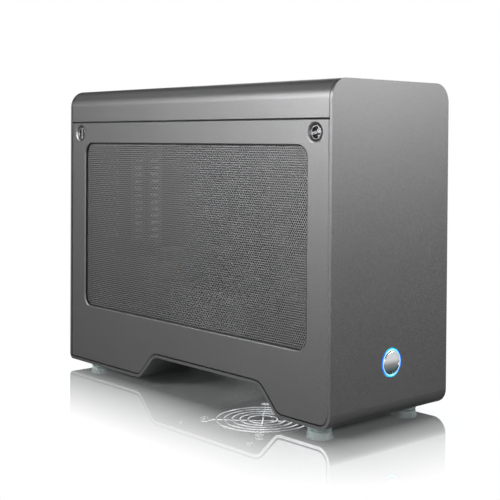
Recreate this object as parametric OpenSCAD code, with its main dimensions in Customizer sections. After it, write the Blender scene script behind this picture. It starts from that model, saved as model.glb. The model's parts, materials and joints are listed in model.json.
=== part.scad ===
// Desktop expansion chassis for one long add-in card. A bent sheet makes the front, floor and
// rear, a rounded cover closes the top and the far side, and a side panel with a mesh window
// lifts off. Inside are the power supply with its fan, the slot board and their leads.
// X runs across the width, Y from the front face to the rear, and Z up from the table.

/* [Body] */
// Length from the front face to the rear face
body_l = 348; // [340:1:380]
// Width across the two sides
body_w = 133; // [132:1:160]
// Height of the body above its feet
body_h = 256; // [250:1:290]
// Thickness of the bent outer sheets
sheet_t = 2.5; // [2:0.1:3]
// Radius of the long top edges
edge_r = 15; // [10:0.5:20]
// Outside radius of the bend under the front face
front_bend_r = 12; // [8:0.5:16]
// Outside radius of the bend under the rear face
rear_bend_r = 5; // [4.5:0.5:10]
// Height of the cover strip above the side panel
cover_drop = 29.4; // [27:0.1:34]

/* [Tunnel] */
// Clear height of the tunnel above the body's underside
tunnel_h = 21.5; // [16:0.5:24]
// Length of the flat tunnel roof
tunnel_roof_l = 135; // [130:1:150]
// Angle of the tunnel's end slopes
tunnel_slope = 45; // [40:1:60]
// Distance from the front face to the middle of the tunnel
tunnel_setback = 145; // [140:1:160]
// Outside radius of the tunnel's bends
tunnel_bend_r = 12; // [8:0.5:14]

/* [Side panel] */
// Distance of the window from the front and rear faces
window_margin = 25.5; // [23:0.5:40]
// Distance of the window below the panel's top edge
window_drop = 19.6; // [18:0.1:40]
// Height of the window's lower edge above the body's underside
window_z = 54.7; // [50:0.1:60]
// Corner radius of the window
window_r = 10; // [6:0.5:14]
// Thickness of the mesh sheet
mesh_t = 1; // [0.8:0.1:1.2]
// Width of the mesh border behind the panel
mesh_lap = 5; // [4:0.5:6]
// Diameter of the staggered mesh holes
mesh_hole_d = 8.8; // [6:0.2:9.6]
// Distance between neighbouring mesh holes
mesh_pitch = 11; // [10.8:0.2:14]
// Distance of the panel screws from the front and rear faces
screw_inset = 17.5; // [16:0.5:22]
// Distance of the panel screws below the panel's top edge
screw_drop = 10; // [9:0.5:11]

/* [Panel screws] */
// Diameter of the screw head
head_d = 10.8; // [9:0.2:12]
// Height of the screw head
head_h = 4; // [3.5:0.1:4.2]
// Depth of the head below the panel's face
head_recess = 1.3; // [1:0.1:1.5]
// Width of the grip rib across the head
rib_w = 2.5; // [2:0.1:3.5]
// Depth of the finger pockets beside the rib
pocket_h = 2.8; // [2:0.1:3]
// Width of the head's outer rim
rim_w = 0.9; // [0.7:0.1:1.2]
// Diameter of the threaded stud
stud_d = 4; // [3:0.5:5]
// Diameter of the dish at the panel's face
dish_d = 14.6; // [13.6:0.2:16]
// Depth of the dish
dish_h = 1.7; // [1:0.1:1.8]
// Angle of the front screw's rib above level
front_rib_angle = 12; // [0:1:90]
// Angle of the rear screw's rib above level
rear_rib_angle = 86; // [0:1:90]

/* [Front button] */
// Height of the button's middle above the body's underside
button_z = 42.2; // [38:0.1:50]
// Outside diameter of the light ring
ring_d = 22; // [21:0.5:25]
// Diameter of the pressed disc
disc_d = 18; // [16:0.5:19]
// Travel of the button
button_travel = 1.5; // [1:0.1:1.8]
// Depth of the dished face of the disc
disc_dish_h = 0.8; // [0.4:0.1:1]

/* [Supply and fan] */
// Gap between the power supply and the side walls
supply_gap = 1.5; // [1:0.1:4]
// Length of the power supply
supply_l = 100; // [96:1:110]
// Height of the power supply
supply_h = 63.5; // [58:0.5:64]
// Thickness of the supply's folded steel
supply_t = 1; // [0.8:0.1:1.2]
// Side of the square fan frame
fan_w = 80; // [76:1:82]
// Depth of the fan frame
fan_h = 15; // [14:0.5:18]
// Distance between the fan's screw holes
fan_pitch = 71.5; // [69:0.5:72]
// Diameter of the fan's air way
fan_bore_d = 76; // [70:1:76]
// Diameter of the fan hub
hub_d = 32; // [28:1:36]
// Number of fan blades
blade_count = 9; // [5:1:11]
// Number of rings in the wire guard
guard_rings = 5; // [3:1:5]
// Radius of the largest guard ring
guard_r = 40.3; // [38:0.1:41]
// Distance between neighbouring guard rings
guard_step = 6.9; // [5.5:0.1:7.2]
// Thickness of the guard wire
guard_wire = 1.6; // [1.2:0.1:2]
// Drop of the guard's rings below the tunnel roof
guard_drop = 3; // [2.6:0.1:5]

/* [Card bay] */
// Gap between the power supply and the card shelf above it
shelf_lift = 3.5; // [3:0.1:8]
// Number of card slots
slot_count = 2; // [1:1:2]
// Distance between neighbouring slots
slot_pitch = 20.32; // [20:0.02:21]
// Distance of the first card's board from the far side
card_side = 28.5; // [25:0.5:30.5]
// Length of the card connector
slot_l = 89; // [80:1:92]
// Height of the card connector
slot_h = 11.2; // [10:0.1:12]
// Distance of the slot covers' ledge below the body's top
ledge_drop = 43.5; // [40:0.5:46]
// Width of a slot cover
blank_w = 18.4; // [17:0.1:19]

/* [Rear panel] */
// Diameter of the vent holes
vent_d = 4; // [3:0.1:4.6]
// Distance between neighbouring vent holes
vent_pitch = 6; // [5.4:0.1:7]
// Width of the mains inlet's flange
inlet_w = 50; // [48:1:52]
// Height of the mains inlet's flange
inlet_h = 28; // [26:1:30]
// Length of the power rocker's bezel
rocker_l = 21; // [19:0.5:23]
// Height of the power rocker's bezel
rocker_h = 15; // [13:0.5:17]
// Swing of the power rocker
rocker_swing = 14; // [10:1:16]

/* [Feet] */
// Height of the feet
foot_h = 6; // [5:0.5:10]
// Diameter of a foot where it meets the body
foot_top_d = 21; // [18:0.5:23]
// Diameter of a foot where it meets the table
foot_bottom_d = 18; // [14:0.5:20]
// Distance of a foot's middle from the side
foot_inset_x = 18; // [16:0.5:24]
// Distance of a foot's middle from the front or rear face
foot_inset_y = 28; // [26:0.5:29]

/* [Clearances] */
// Gap of the seams between the outer sheets
seam = 0.3; // [0.25:0.05:0.5]
// Gap around a turning or sliding fit
running = 0.05; // [0.02:0.01:0.08]
// Gap between pieces that are fitted loosely
loose = 0.3; // [0.25:0.05:0.4]

/* [Hidden] */
$fn = 48;

// Colours
shell_tone = [0.42, 0.42, 0.43];
mesh_tone = [0.2, 0.2, 0.21];
steel_tone = [0.62, 0.63, 0.65];
chrome_tone = [0.85, 0.86, 0.88];
black_tone = [0.09, 0.09, 0.1];
rubber_tone = [0.5, 0.52, 0.52];
glow_tone = [0.1, 0.55, 1];
gold_tone = [0.8, 0.65, 0.25];
board_tone = [0.08, 0.2, 0.14];
copper_tone = [0.7, 0.42, 0.2];

// Overrun of every cut, and how finely a bend is drawn
overrun = 1;
bend_steps = 10;

// Places of the outer faces
front_y = -body_l / 2;
rear_y = body_l / 2;
left_x = -body_w / 2;
right_x = body_w / 2;
floor_z = foot_h;
body_top = floor_z + body_h;
cover_edge_z = body_top - cover_drop;
panel_top = cover_edge_z - seam;
inner_left = left_x + sheet_t;
inner_right = right_x - sheet_t;
inner_front = front_y + sheet_t;
inner_rear = rear_y - sheet_t;
inner_floor = floor_z + sheet_t;
window_l = body_l - 2 * window_margin;
window_h = panel_top - window_drop - floor_z - window_z;

// Places of the tunnel
tunnel_y = front_y + tunnel_setback;
tunnel_front = tunnel_y - tunnel_roof_l / 2;
tunnel_rear = tunnel_y + tunnel_roof_l / 2;
tunnel_run = tunnel_h / tan(tunnel_slope);
roof_z = floor_z + tunnel_h;
roof_top = roof_z + sheet_t;

// Panel screws: cup, clip and the nut on the rail behind
screw_z = panel_top - screw_drop;
screw_rows = [front_y + screw_inset, rear_y - screw_inset];
cup_bore_d = head_d + 2 * loose;
cup_wall = 0.9;
cup_flange_d = dish_d;
cup_flange_t = 1;
cup_floor = head_recess + head_h + loose;
cup_floor_t = 1.2;
clip_t = 0.8;
clip_d = stud_d * 2;
clip_gap = loose;
rail_t = 1.2;
rail_depth = cup_floor + cup_floor_t + clip_gap + clip_t + 2 * loose;
nut_wall = 1.6;
nut_d = stud_d + 2 * nut_wall;
nut_l = 5.2;
stud_l = rail_depth + nut_l - head_recess - head_h;

// Rivets round the mesh border
rivet_d = 2.4;
rivet_h = 0.5;
rivets_along = 6;
rivets_up = 3;

// Rails under the cover's side strips
rail_lap = 12;
rail_skirt = 8.5;
rail_x = left_x + rail_depth;
rail_web_z = cover_edge_z + rail_t;
rail_low_z = screw_z - rail_skirt;
rail_tab_w = 14;
rail_tab_h = 12;

// Shelf for the card
shelf_t = 1.2;
shelf_low = roof_top + supply_h + shelf_lift;
shelf_top = shelf_low + shelf_t;
shelf_gap = 4;
shelf_flange = 12;
shelf_left = inner_left + mesh_t + shelf_gap;
shelf_right = inner_right - loose;
shelf_side_web = 13;
shelf_mid_web = 18.7;
shelf_front_web = 26;
shelf_hole_w = (shelf_right - shelf_left - shelf_mid_web) / 2 - shelf_side_web;
shelf_hole_l = 60;

// Screws and studs that several pieces share
m3_d = 3;
m3_head_d = 6;
m3_head_h = 2;
m3_hole_d = 3.4;
m3_tap_d = m3_d + 2 * running;
screw_reach = 4;

// Slot board on its standoffs
standoff_h = 6;
standoff_d = 5.5;
board_t = 1.6;
board_low = shelf_top + standoff_h;
board_top = board_low + board_t;
board_l = 142;
board_gap_left = 14;
board_gap_right = 12;
board_left = inner_left + board_gap_left;
board_right = inner_right - board_gap_right;
board_rear_gap = 1.6;
board_rear = inner_rear - board_rear_gap;
board_front = board_rear - board_l;
board_inset = 5;
shelf_nut_h = 2.4;
sink_inset = 10;
sink_x = board_left + sink_inset;
sink_setback = 62;
sink_size = [32, 32, 3];
sink_pins = 6;
sink_pin_h = 9;
chip_size = [12, 12, 1.2];
chip_setback = 86;
chip_step = 18;
can_d = 8;
can_h = 9;
can_count = 4;
can_step = 12;
can_setback = 104;
power_plug_size = [22, 10, 12.5];
power_plug_inset = [45, 10.4];
power_plug_x = board_left + power_plug_inset[0];
power_plug_y = board_front + power_plug_inset[1];
card_plug_size = [17, 14, 7.6];
card_plug_inset = [26, 87.8];
card_plug_x = shelf_left + card_plug_inset[0];
card_plug_y = inner_front + card_plug_inset[1];
header_size = [10, 5, 6.7];
header_inset = [16, 0.4];
header_x = board_right - header_inset[0];
header_y = board_front + header_inset[1];

// Card slots and their blank covers
bracket_offset = 6.6;
blank_t = 0.9;
blank_tab = 11.4;
blank_tongue_w = 10.2;
blank_tongue_h = 12;
card_x = right_x - card_side;
ledge_t = 1.5;
ledge_z = body_top - ledge_drop;
blank_h = ledge_z - shelf_top - loose;
ledge_side = 4;
ledge_w = slot_pitch * slot_count + 2 * ledge_side;
slot_opening_w = 14.4;
slot_opening_lift = 4;
slot_opening_drop = 3;
slot_opening_low = board_top + slot_opening_lift;
slot_opening_high = ledge_z - ledge_t - slot_opening_drop;
slit_rows_left_plain = 2;
blank_slit_w = 9;
blank_slit_h = 3;
blank_slit_pitch = 7;
blank_slit_count =
    floor((slot_opening_high - slot_opening_low) / blank_slit_pitch) - slit_rows_left_plain;
connector_setback = 46;
connector_w = 7.5;
connector_groove_w = 1.8;
connector_groove_h = 8;

// Rear panel places
inlet_side = 32.5;
inlet_x = right_x - inlet_side;
inlet_lift = 47;
inlet_z = floor_z + inlet_lift;
inlet_body_w = 27.6;
inlet_body_h = 20;
inlet_body_l = 21;
inlet_body_cut = 5.6;
inlet_flange_t = 2.2;
inlet_flange_r = 6;
inlet_cavity_w = 24;
inlet_cavity_h = 16.4;
inlet_cavity_cut = 4.6;
inlet_cavity_l = 17;
inlet_pin_w = 4;
inlet_pin_t = 2;
inlet_pin_l = 12;
inlet_pin_gap = 7;
inlet_pin_shift = 2;
inlet_screw_pitch = 40;
rocker_gap = 6.5;
rocker_x = inlet_x - inlet_w / 2 - rocker_gap - rocker_l / 2;
rocker_z = inlet_z;
rocker_wall = 1.2;
rocker_bezel_t = 1.6;
rocker_box_l = 14;
rocker_lip = 1.4;
rocker_pin_d = 2.4;
rocker_crown = 7;
rocker_pivot_depth = -3.5;
port_inset = 12;
port_pitch = 20;
port_rows = [board_left + port_inset + port_pitch, board_left + port_inset];
port_w = 8.9;
port_h = 3.3;
port_t = 0.3;
port_l = 9;
port_proud = 0.4;
vent_margin = 11;
vent_left = left_x + vent_margin;
vent_slot_gap = 12;
vent_right = slot_x(slot_count - 1) - slot_opening_w / 2 - vent_slot_gap;
upper_vent_lift = 24;
upper_vent_drop = 14;
upper_vent_low = shelf_top + upper_vent_lift;
upper_vent_high = cover_edge_z - upper_vent_drop;
lower_vent_right = rocker_x - rocker_l / 2 - rocker_gap;
lower_vent_lift = 20;
lower_vent_drop = 16;
lower_vent_low = floor_z + lower_vent_lift;
lower_vent_high = shelf_low - lower_vent_drop;

// Supply and fan places
supply_w = inner_right - inner_left - 2 * supply_gap;
supply_front = tunnel_y - supply_l / 2;
supply_rear = tunnel_y + supply_l / 2;
supply_top = roof_top + supply_h;
fan_low = roof_top + supply_t;
fan_top = fan_low + fan_h;
fan_corner_r = 5;
fan_hole_d = 4.4;
fan_screw_d = 3.8;
fan_screw_head_d = 7.6;
fan_screw_head_h = 2.4;
fan_web_w = 3.4;
fan_base_t = 2;
rotor_gap = 1.2;
rotor_low = fan_low + rotor_gap;
rotor_top = fan_top - fan_base_t - rotor_gap;
blade_t = 1.3;
blade_pitch_angle = 38;
blade_curve_r = 24;
tip_gap = 1.2;
hub_wall = 2;
shaft_d = 3;
bush_d = 6.5;
stator_d = 21;
roof_hole_gap = 1.2;
roof_hole_d = 2 * (guard_r + roof_hole_gap);
eye_r = 3.1;
supply_screw_inset = [8.5, 6];
supply_screw_x = supply_w / 2 - supply_screw_inset[0];
supply_screw_y = supply_l / 2 - supply_screw_inset[1];
supply_board_gap = 4;
supply_board_high = supply_top - supply_t - supply_board_gap;
supply_board_low = supply_board_high - board_t;
supply_board_side = supply_w / 2 - supply_t - loose * 4;
supply_board_front = supply_front + supply_t + loose * 4;
supply_board_rear = supply_rear - inlet_body_l;
sheet_sink_t = 3;
sheet_sink_gap = 2;
sheet_sink_w = 12;
sheet_sink_fins = 6;
sheet_sink_side = 6;
coil_r = 9;
coil_wire = 7;
coil_side = 2.1;
core_size = [26, 30, 24];
tall_can_d = 18;
tall_can_h = 30;
tall_can_side = 2.5;
small_can_d = 8;
small_can_h = 16;
small_cans = 4;
grip_l = 31;
grip_taper_l = 5;
socket_inset = 38.5;
socket_lift = 28;
socket_x = supply_w / 2 - socket_inset;
socket_z = roof_top + socket_lift;
dc_hole_inset = 40.5;
card_hole_inset = 20.5;
lead_hole_lift = 48;
lead_hole_z = roof_top + lead_hole_lift;
lead_root_l = 5;
lead_gap = 0.2;
supply_vent_margin = 12;

// Front button places
button_high = floor_z + button_z;
ring_proud = 0.4;
ring_flange_w = 2.5;
ring_flange_d = ring_d + 2 * ring_flange_w;
ring_flange_t = 1.5;
ring_hole_d = disc_d + 2 * loose;
disc_t = 3;
disc_proud = 0.9;
stem_d = 6;
stem_l = 14;
housing_d = ring_flange_d;
housing_l = 11;
housing_wall = 1.6;
housing_plate_w = 42;
housing_plate_h = 20;
housing_plate_t = 2;
housing_screw_x = 17;
switch_w = 12.8;
switch_l = 7;
switch_gap = 0.4;

// Lugs at the foot of the side panel and their keepers
lug_t = 1.5;
lug_l = 14;
lug_reach = 9;
keeper_t = 1.2;
keeper_l = 22;
keeper_foot = 10;
bracket_flange = 24;
foot_rows = [front_y + foot_inset_y, rear_y - foot_inset_y];

// Leads: points chosen by hand, whose two ends follow what the lead goes into
lead_sides = 8;
mains_d = 7;
mains_points = [
    [34, 155, 53], [34, 145, 53], [33, 132, 54], [31, 118, 55], [28, 104, 56],
    [25, 90, 57], [24, 76, 58], [24, 64, 58], [24, 52, 58], [24, 44, 58]
];
inlet_end = rear_y + inlet_flange_t - inlet_body_l - lead_gap;
plug_front = supply_rear - inlet_cavity_l + inlet_pin_w;
mains_route = follow(mains_points, [inlet_x, inlet_end, inlet_z],
    [socket_x, plug_front + grip_l + grip_taper_l, socket_z]);
switch_d = 3;
switch_points = [
    [[26, 155, 57], [26, 149, 57], [22, 145, 58], [12, 144, 58], [2, 146, 57],
     [-4, 150, 56], [-5, 155, 55], [-5, 159.7, 54.5]],
    [[26, 155, 49], [26, 149, 49], [22, 144, 48], [10, 141, 48], [-4, 143, 49],
     [-10, 148, 51], [-11, 155, 52], [-11, 159.7, 51.5]]
];
switch_tag = [8, 4];
rocker_tag = [3, 1.5];
rocker_end = rear_y - rocker_box_l - loose;
switch_routes = [for (i = [0, 1]) let (side = 1 - 2 * i)
    follow(switch_points[i],
        [inlet_x - switch_tag[0], inlet_end, inlet_z + side * switch_tag[1]],
        [rocker_x + side * rocker_tag[0], rocker_end, rocker_z + side * rocker_tag[1]])];
dc_d = 8;
dc_points = [
    [22, -74, 78], [22, -90, 78], [22, -100, 80], [22, -108, 86], [22, -110, 95],
    [22, -104, 103.5], [20, -90, 105], [12, -66, 103], [4, -42, 102.5], [0, -20, 102.5],
    [-2, -2, 103.5], [-4, 12, 109], [-5, 26, 112], [-5, 38, 112.05]
];
dc_hole_x = supply_w / 2 - dc_hole_inset;
dc_route = follow(dc_points, [dc_hole_x, supply_front + lead_root_l, lead_hole_z],
    [power_plug_x, power_plug_y - loose, board_top + power_plug_size[2] / 2]);
card_d = 6.5;
card_points = [
    [42, -74, 78], [42, -90, 78], [42, -100, 80], [42, -108, 86], [42, -110.5, 95],
    [42, -115, 101.5], [40, -128, 102], [28, -141, 102], [8, -147, 102], [-14, -143, 102],
    [-28, -130, 102], [-33, -112, 102], [-33, -94, 102], [-33, -84, 102]
];
card_hole_x = supply_w / 2 - card_hole_inset;
card_route = follow(card_points, [card_hole_x, supply_front + lead_root_l, lead_hole_z],
    [card_plug_x, card_plug_y - loose, shelf_top + card_plug_size[2] / 2]);
button_lead_d = 3;
button_points = [
    [0, -148.8, 48.2], [0, -140, 48.2], [8, -132, 52], [22, -130, 62], [36, -132, 74],
    [45, -136, 86], [46, -137, 96], [48, -132, 100], [54, -118, 100], [56, -100, 100],
    [56, -74, 100], [56, -48, 100], [56, -22, 100], [52, 4, 101], [43, 16, 104],
    [37, 23, 108.5], [36, 28, 109.15]
];
switch_start = disc_t + stem_l - disc_proud + button_travel + switch_gap;
button_route = follow(button_points,
    [0, front_y + switch_start + switch_l + lead_gap, button_high],
    [header_x, header_y - loose, board_top + header_size[2] / 2]);
function follow(points, first, last) =
    let (count = len(points) - 1)
    [for (i = [0 : count]) points[i] + (first - points[0]) * (1 - i / count)
        + (last - points[count]) * i / count];

// Points of an arc that rounds the corner q between its neighbours p and s
function unit(v) = v / norm(v);
function near_turn(a) = a - 360 * floor((a + 180) / 360);
function corner_arc(p, q, s, r) =
    r <= 0 ? [q] :
    let (
        u = unit(p - q),
        v = unit(s - q),
        half = acos(u * v) / 2,
        tangent = r / tan(half),
        centre = q + unit(u + v) * r / sin(half),
        first = q + u * tangent - centre,
        last = q + v * tangent - centre,
        a = atan2(first[1], first[0]),
        turn = near_turn(atan2(last[1], last[0]) - a)
    )
    [for (i = [0 : bend_steps])
        centre + r * [cos(a + turn * i / bend_steps), sin(a + turn * i / bend_steps)]];
function rounded(pts, radii) =
    [for (i = [0 : len(pts) - 1]) each corner_arc(
        pts[(i + len(pts) - 1) % len(pts)], pts[i], pts[(i + 1) % len(pts)], radii[i])];

// Side view of the body, drawn in by d from the outer faces, up to a given height
function side_outline(d, top, top_r = 0) =
    let (
        shift = d * tan(tunnel_slope / 2),
        low = floor_z + d,
        roof = roof_z + d
    )
    rounded(
        [[front_y + d, low], [tunnel_front - tunnel_run - shift, low],
         [tunnel_front - shift, roof], [tunnel_rear + shift, roof],
         [tunnel_rear + tunnel_run + shift, low], [rear_y - d, low],
         [rear_y - d, top], [front_y + d, top]],
        [front_bend_r - d, tunnel_bend_r - d, tunnel_bend_r + d, tunnel_bend_r + d,
         tunnel_bend_r - d, rear_bend_r - d, top_r, top_r]);

// Extrusions of a side view along X, and of a front view along Y
module along_x(x0, x1) {
    translate([x0, 0, 0]) rotate([90, 0, 90]) linear_extrude(x1 - x0) children();
}
module along_y(y0, y1) {
    translate([0, y1, 0]) rotate([90, 0, 0]) linear_extrude(y1 - y0) children();
}

// Block between two corners
module block(a, b) {
    translate(a) cube(b - a);
}

// Front view with rounded top corners
module arch(w, low, top, r) {
    translate([-w / 2, low]) square([w, top - r - low]);
    translate([r - w / 2, low]) square([w - 2 * r, top - low]);
    for (side = [-1, 1]) translate([side * (w / 2 - r), top - r]) circle(r = r);
}

// Rectangle about its middle with round corners
module round_rect(w, h, r) {
    square([w, h - 2 * r], center = true);
    square([w - 2 * r, h], center = true);
    for (x = [-1, 1], y = [-1, 1]) translate([x * (w / 2 - r), y * (h / 2 - r)]) circle(r = r);
}

// Round bar from a to b
module rod(a, b, d) {
    run = b - a;
    translate(a) rotate([0, acos(run[2] / norm(run)), atan2(run[1], run[0])])
        cylinder(d = d, h = norm(run));
}

// Tube swept along a row of points, with its section carried along without twist
function tangents(p) =
    [for (i = [0 : len(p) - 1]) unit(p[min(i + 1, len(p) - 1)] - p[max(i - 1, 0)])];
function sections(t, n, i = 0, found = []) =
    i >= len(t) ? found :
    let (m = unit(n - (n * t[i]) * t[i])) sections(t, m, i + 1, concat(found, [m]));
module lead(points, d) {
    count = len(points);
    t = tangents(points);
    n = sections(t, [0.31, 0.17, 1]);
    rings = [for (i = [0 : count - 1], k = [0 : lead_sides - 1])
        let (a = 360 * k / lead_sides)
        points[i] + d / 2 * (n[i] * cos(a) + cross(t[i], n[i]) * sin(a))];
    sides = [for (i = [0 : count - 2], k = [0 : lead_sides - 1])
        let (a = i * lead_sides + k, b = i * lead_sides + (k + 1) % lead_sides)
        each [[a, a + lead_sides, b], [b, a + lead_sides, b + lead_sides]]];
    ends = [for (k = [1 : lead_sides - 2]) each [[0, k, k + 1],
        [(count - 1) * lead_sides, (count - 1) * lead_sides + k + 1,
         (count - 1) * lead_sides + k]]];
    polyhedron(concat(rings, points), concat(sides, ends), convexity = 6);
}

// Screws that lie along Y through the rear sheet, or stand along Z
module rear_screw(x, z, reach) {
    translate([x, rear_y, z]) rotate([-90, 0, 0]) screw(reach);
}
module screw(reach, head_d = m3_head_d, head_h = m3_head_h, d = m3_d) {
    difference() {
        cylinder(d = head_d, h = head_h);
        translate([0, 0, head_h / 2]) cylinder(d = head_d / 2, h = head_h, $fn = 6);
    }
    translate([0, 0, -reach]) cylinder(d = d, h = reach + head_h / 4);
}

// A screw's place on the side panel: Z there runs inward from the panel's face
module at_panel_screw(y) {
    translate([left_x, y, screw_z]) rotate([0, 90, 0]) children();
}

// The bent sheet that makes the front face, the floor with its tunnel and the rear face
module wrap_frame() {
    color(shell_tone) difference() {
        intersection() {
            along_x(left_x, right_x) difference() {
                polygon(side_outline(0, body_top));
                polygon(side_outline(sheet_t, body_top + overrun));
            }
            along_y(front_y - overrun, rear_y + overrun)
                arch(body_w, floor_z - overrun, body_top, edge_r);
        }
        along_y(front_y - overrun, inner_front + overrun)
            translate([0, button_high]) circle(d = ring_d + 2 * loose);
        translate([0, tunnel_y, roof_z - overrun])
            cylinder(d = roof_hole_d, h = sheet_t + 2 * overrun);
        for (x = [-1, 1], y = [-1, 1]) {
            translate([x * fan_pitch / 2, tunnel_y + y * fan_pitch / 2, roof_z - overrun])
                cylinder(d = fan_hole_d, h = sheet_t + 2 * overrun);
            translate([x * supply_screw_x, tunnel_y + y * supply_screw_y, roof_z - overrun])
                cylinder(d = m3_hole_d, h = sheet_t + 2 * overrun);
        }
        for (x = [-1, 1], y = foot_rows)
            translate([x * (right_x - foot_inset_x), y, floor_z - overrun])
                cylinder(d = m3_hole_d, h = sheet_t + 2 * overrun);
        along_y(inner_rear - overrun, rear_y + overrun) rear_openings();
    }
}

// Cut-outs in the rear face
module rear_openings() {
    for (i = [0 : slot_count - 1])
        translate([slot_x(i) - slot_opening_w / 2, slot_opening_low])
            square([slot_opening_w, slot_opening_high - slot_opening_low]);
    translate([inlet_x, inlet_z]) mirror([0, 1])
        inlet_outline(inlet_body_w + 2 * loose, inlet_body_h + 2 * loose, inlet_body_cut);
    for (side = [-1, 1]) translate([inlet_x + side * inlet_screw_pitch / 2, inlet_z])
        circle(d = m3_hole_d);
    translate([rocker_x, rocker_z])
        square([rocker_l - 2 * rocker_lip + 2 * loose, rocker_h - 2 * rocker_lip + 2 * loose],
            center = true);
    for (x = port_rows) translate([x, board_top + port_h / 2])
        round_rect(port_w + 2 * loose, port_h + 2 * loose, port_h / 2);
    for (p = rear_screw_places()) translate(p) circle(d = m3_hole_d);
    vent_field(vent_left, vent_right, upper_vent_low, upper_vent_high);
    vent_field(vent_left, lower_vent_right, lower_vent_low, lower_vent_high);
}
function slot_x(i) = card_x - bracket_offset - i * slot_pitch;
function rail_tab_x() = right_x - rail_depth - rail_t - rail_tab_w / 2;
function rear_screw_places() = concat(
    [for (side = [-1, 1]) [side * rail_tab_x(), rail_web_z - rail_tab_h / 2]],
    [for (x = [shelf_left + shelf_flange, 0, shelf_right - shelf_flange])
        [x, shelf_low - shelf_flange / 2]]);

// Field of staggered round holes
module vent_field(x0, x1, z0, z1) {
    row = vent_pitch * sin(60);
    columns = floor((x1 - x0) / vent_pitch);
    rows = floor((z1 - z0) / row);
    for (j = [0 : rows], i = [0 : columns - j % 2])
        translate([x0 + (i + (j % 2) / 2) * vent_pitch, z0 + j * row])
            circle(d = vent_d, $fn = 24);
}

// Cover over the top and the far side, with a strip above the side panel
module top_cover() {
    color(shell_tone) intersection() {
        along_y(inner_front + seam, inner_rear - seam) difference() {
            arch(body_w, floor_z, body_top, edge_r);
            arch(body_w - 2 * sheet_t, floor_z - overrun, body_top - sheet_t,
                edge_r - sheet_t);
            translate([left_x - overrun, floor_z - overrun])
                square([right_x, cover_edge_z - floor_z + overrun]);
        }
        along_x(left_x, right_x) polygon(side_outline(sheet_t + seam, body_top + overrun));
    }
}

// Lift-off side panel with its window and two dished screw holes
module side_panel() {
    color(shell_tone) difference() {
        along_x(left_x, inner_left) difference() {
            polygon(side_outline(sheet_t + seam, panel_top, seam * 4));
            translate([0, floor_z + window_z + window_h / 2])
                round_rect(window_l, window_h, window_r);
        }
        for (y = screw_rows) at_panel_screw(y) {
            cylinder(d1 = dish_d, d2 = cup_bore_d, h = dish_h);
            translate([0, 0, -overrun]) cylinder(d = cup_bore_d, h = sheet_t + 2 * overrun);
        }
    }
}

// Mesh sheet behind the window, with staggered round holes
module panel_mesh() {
    row = mesh_pitch * sin(60);
    columns = floor((window_l - mesh_pitch) / mesh_pitch);
    rows = floor((window_h - mesh_pitch) / row);
    color(mesh_tone) along_x(inner_left, inner_left + mesh_t)
        translate([0, floor_z + window_z + window_h / 2]) difference() {
            round_rect(window_l + 2 * mesh_lap, window_h + 2 * mesh_lap, window_r + mesh_lap);
            for (j = [0 : rows], i = [0 : columns - j % 2])
                translate([(i + (j % 2) / 2 - columns / 2) * mesh_pitch, (j - rows / 2) * row])
                    circle(d = mesh_hole_d, $fn = 24);
        }
}

// Rivets that hold the mesh border to the panel
module mesh_rivets() {
    x = inner_left + mesh_t;
    y = (window_l + mesh_lap) / 2;
    z = (window_h + mesh_lap) / 2;
    middle = floor_z + window_z + window_h / 2;
    color(steel_tone) translate([x, 0, middle]) rotate([90, 0, 90]) {
        for (i = [0 : rivets_along - 1], side = [-1, 1])
            translate([(i / (rivets_along - 1) - 1 / 2) * (window_l - 4 * window_r), side * z])
                cylinder(d = rivet_d, h = rivet_h);
        for (i = [0 : rivets_up - 1], side = [-1, 1])
            translate([side * y, (i / (rivets_up - 1) - 1 / 2) * (window_h - 4 * window_r)])
                cylinder(d = rivet_d, h = rivet_h);
    }
}

// Cups behind the dished holes that keep the panel screws captive
module screw_cups() {
    depth = cup_floor + cup_floor_t - sheet_t;
    color(steel_tone) for (y = screw_rows) at_panel_screw(y) translate([0, 0, sheet_t])
        difference() {
            union() {
                cylinder(d = cup_flange_d, h = cup_flange_t);
                cylinder(d = cup_bore_d + 2 * cup_wall, h = depth);
            }
            translate([0, 0, -overrun])
                cylinder(d = cup_bore_d, h = depth - cup_floor_t + overrun);
            cylinder(d = stud_d + 2 * running, h = depth + overrun);
        }
}

// Lugs on the panel's foot that slip under the keepers on the floor
module panel_lugs() {
    low = inner_floor + seam;
    color(steel_tone) for (y = foot_rows) {
        block([inner_left, y - lug_l / 2, low], [inner_left + lug_reach, y + lug_l / 2, low + lug_t]);
        block([inner_left, y - lug_l / 2, low], [inner_left + lug_t, y + lug_l / 2, low + lug_l]);
    }
}

// Captive screw with a grip rib between two pockets
module panel_screw(y, rib_angle) {
    color(chrome_tone) at_panel_screw(y) {
        difference() {
            translate([0, 0, head_recess]) cylinder(d = head_d, h = head_h);
            difference() {
                translate([0, 0, head_recess - overrun])
                    cylinder(d = head_d - 2 * rim_w, h = pocket_h + overrun);
                rotate([0, 0, 90 - rib_angle])
                    translate([-rib_w / 2, -head_d, 0]) cube([rib_w, 2 * head_d, 2 * head_h]);
            }
        }
        translate([0, 0, head_recess + head_h]) cylinder(d = stud_d, h = stud_l);
    }
}
module panel_screw_front() {
    panel_screw(screw_rows[0], front_rib_angle);
}
module panel_screw_rear() {
    panel_screw(screw_rows[1], rear_rib_angle);
}

// Clips that keep the panel screws in their cups
module screw_clip(y) {
    color(steel_tone) at_panel_screw(y)
        translate([0, 0, cup_floor + cup_floor_t + clip_gap]) difference() {
            cylinder(d = clip_d, h = clip_t);
            translate([0, 0, -overrun]) cylinder(d = stud_d, h = clip_t + 2 * overrun);
            translate([0, -stud_d / 3, -overrun])
                cube([clip_d, stud_d * 2 / 3, clip_t + 2 * overrun]);
        }
}
module screw_clip_front() {
    screw_clip(screw_rows[0]);
}
module screw_clip_rear() {
    screw_clip(screw_rows[1]);
}

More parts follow.
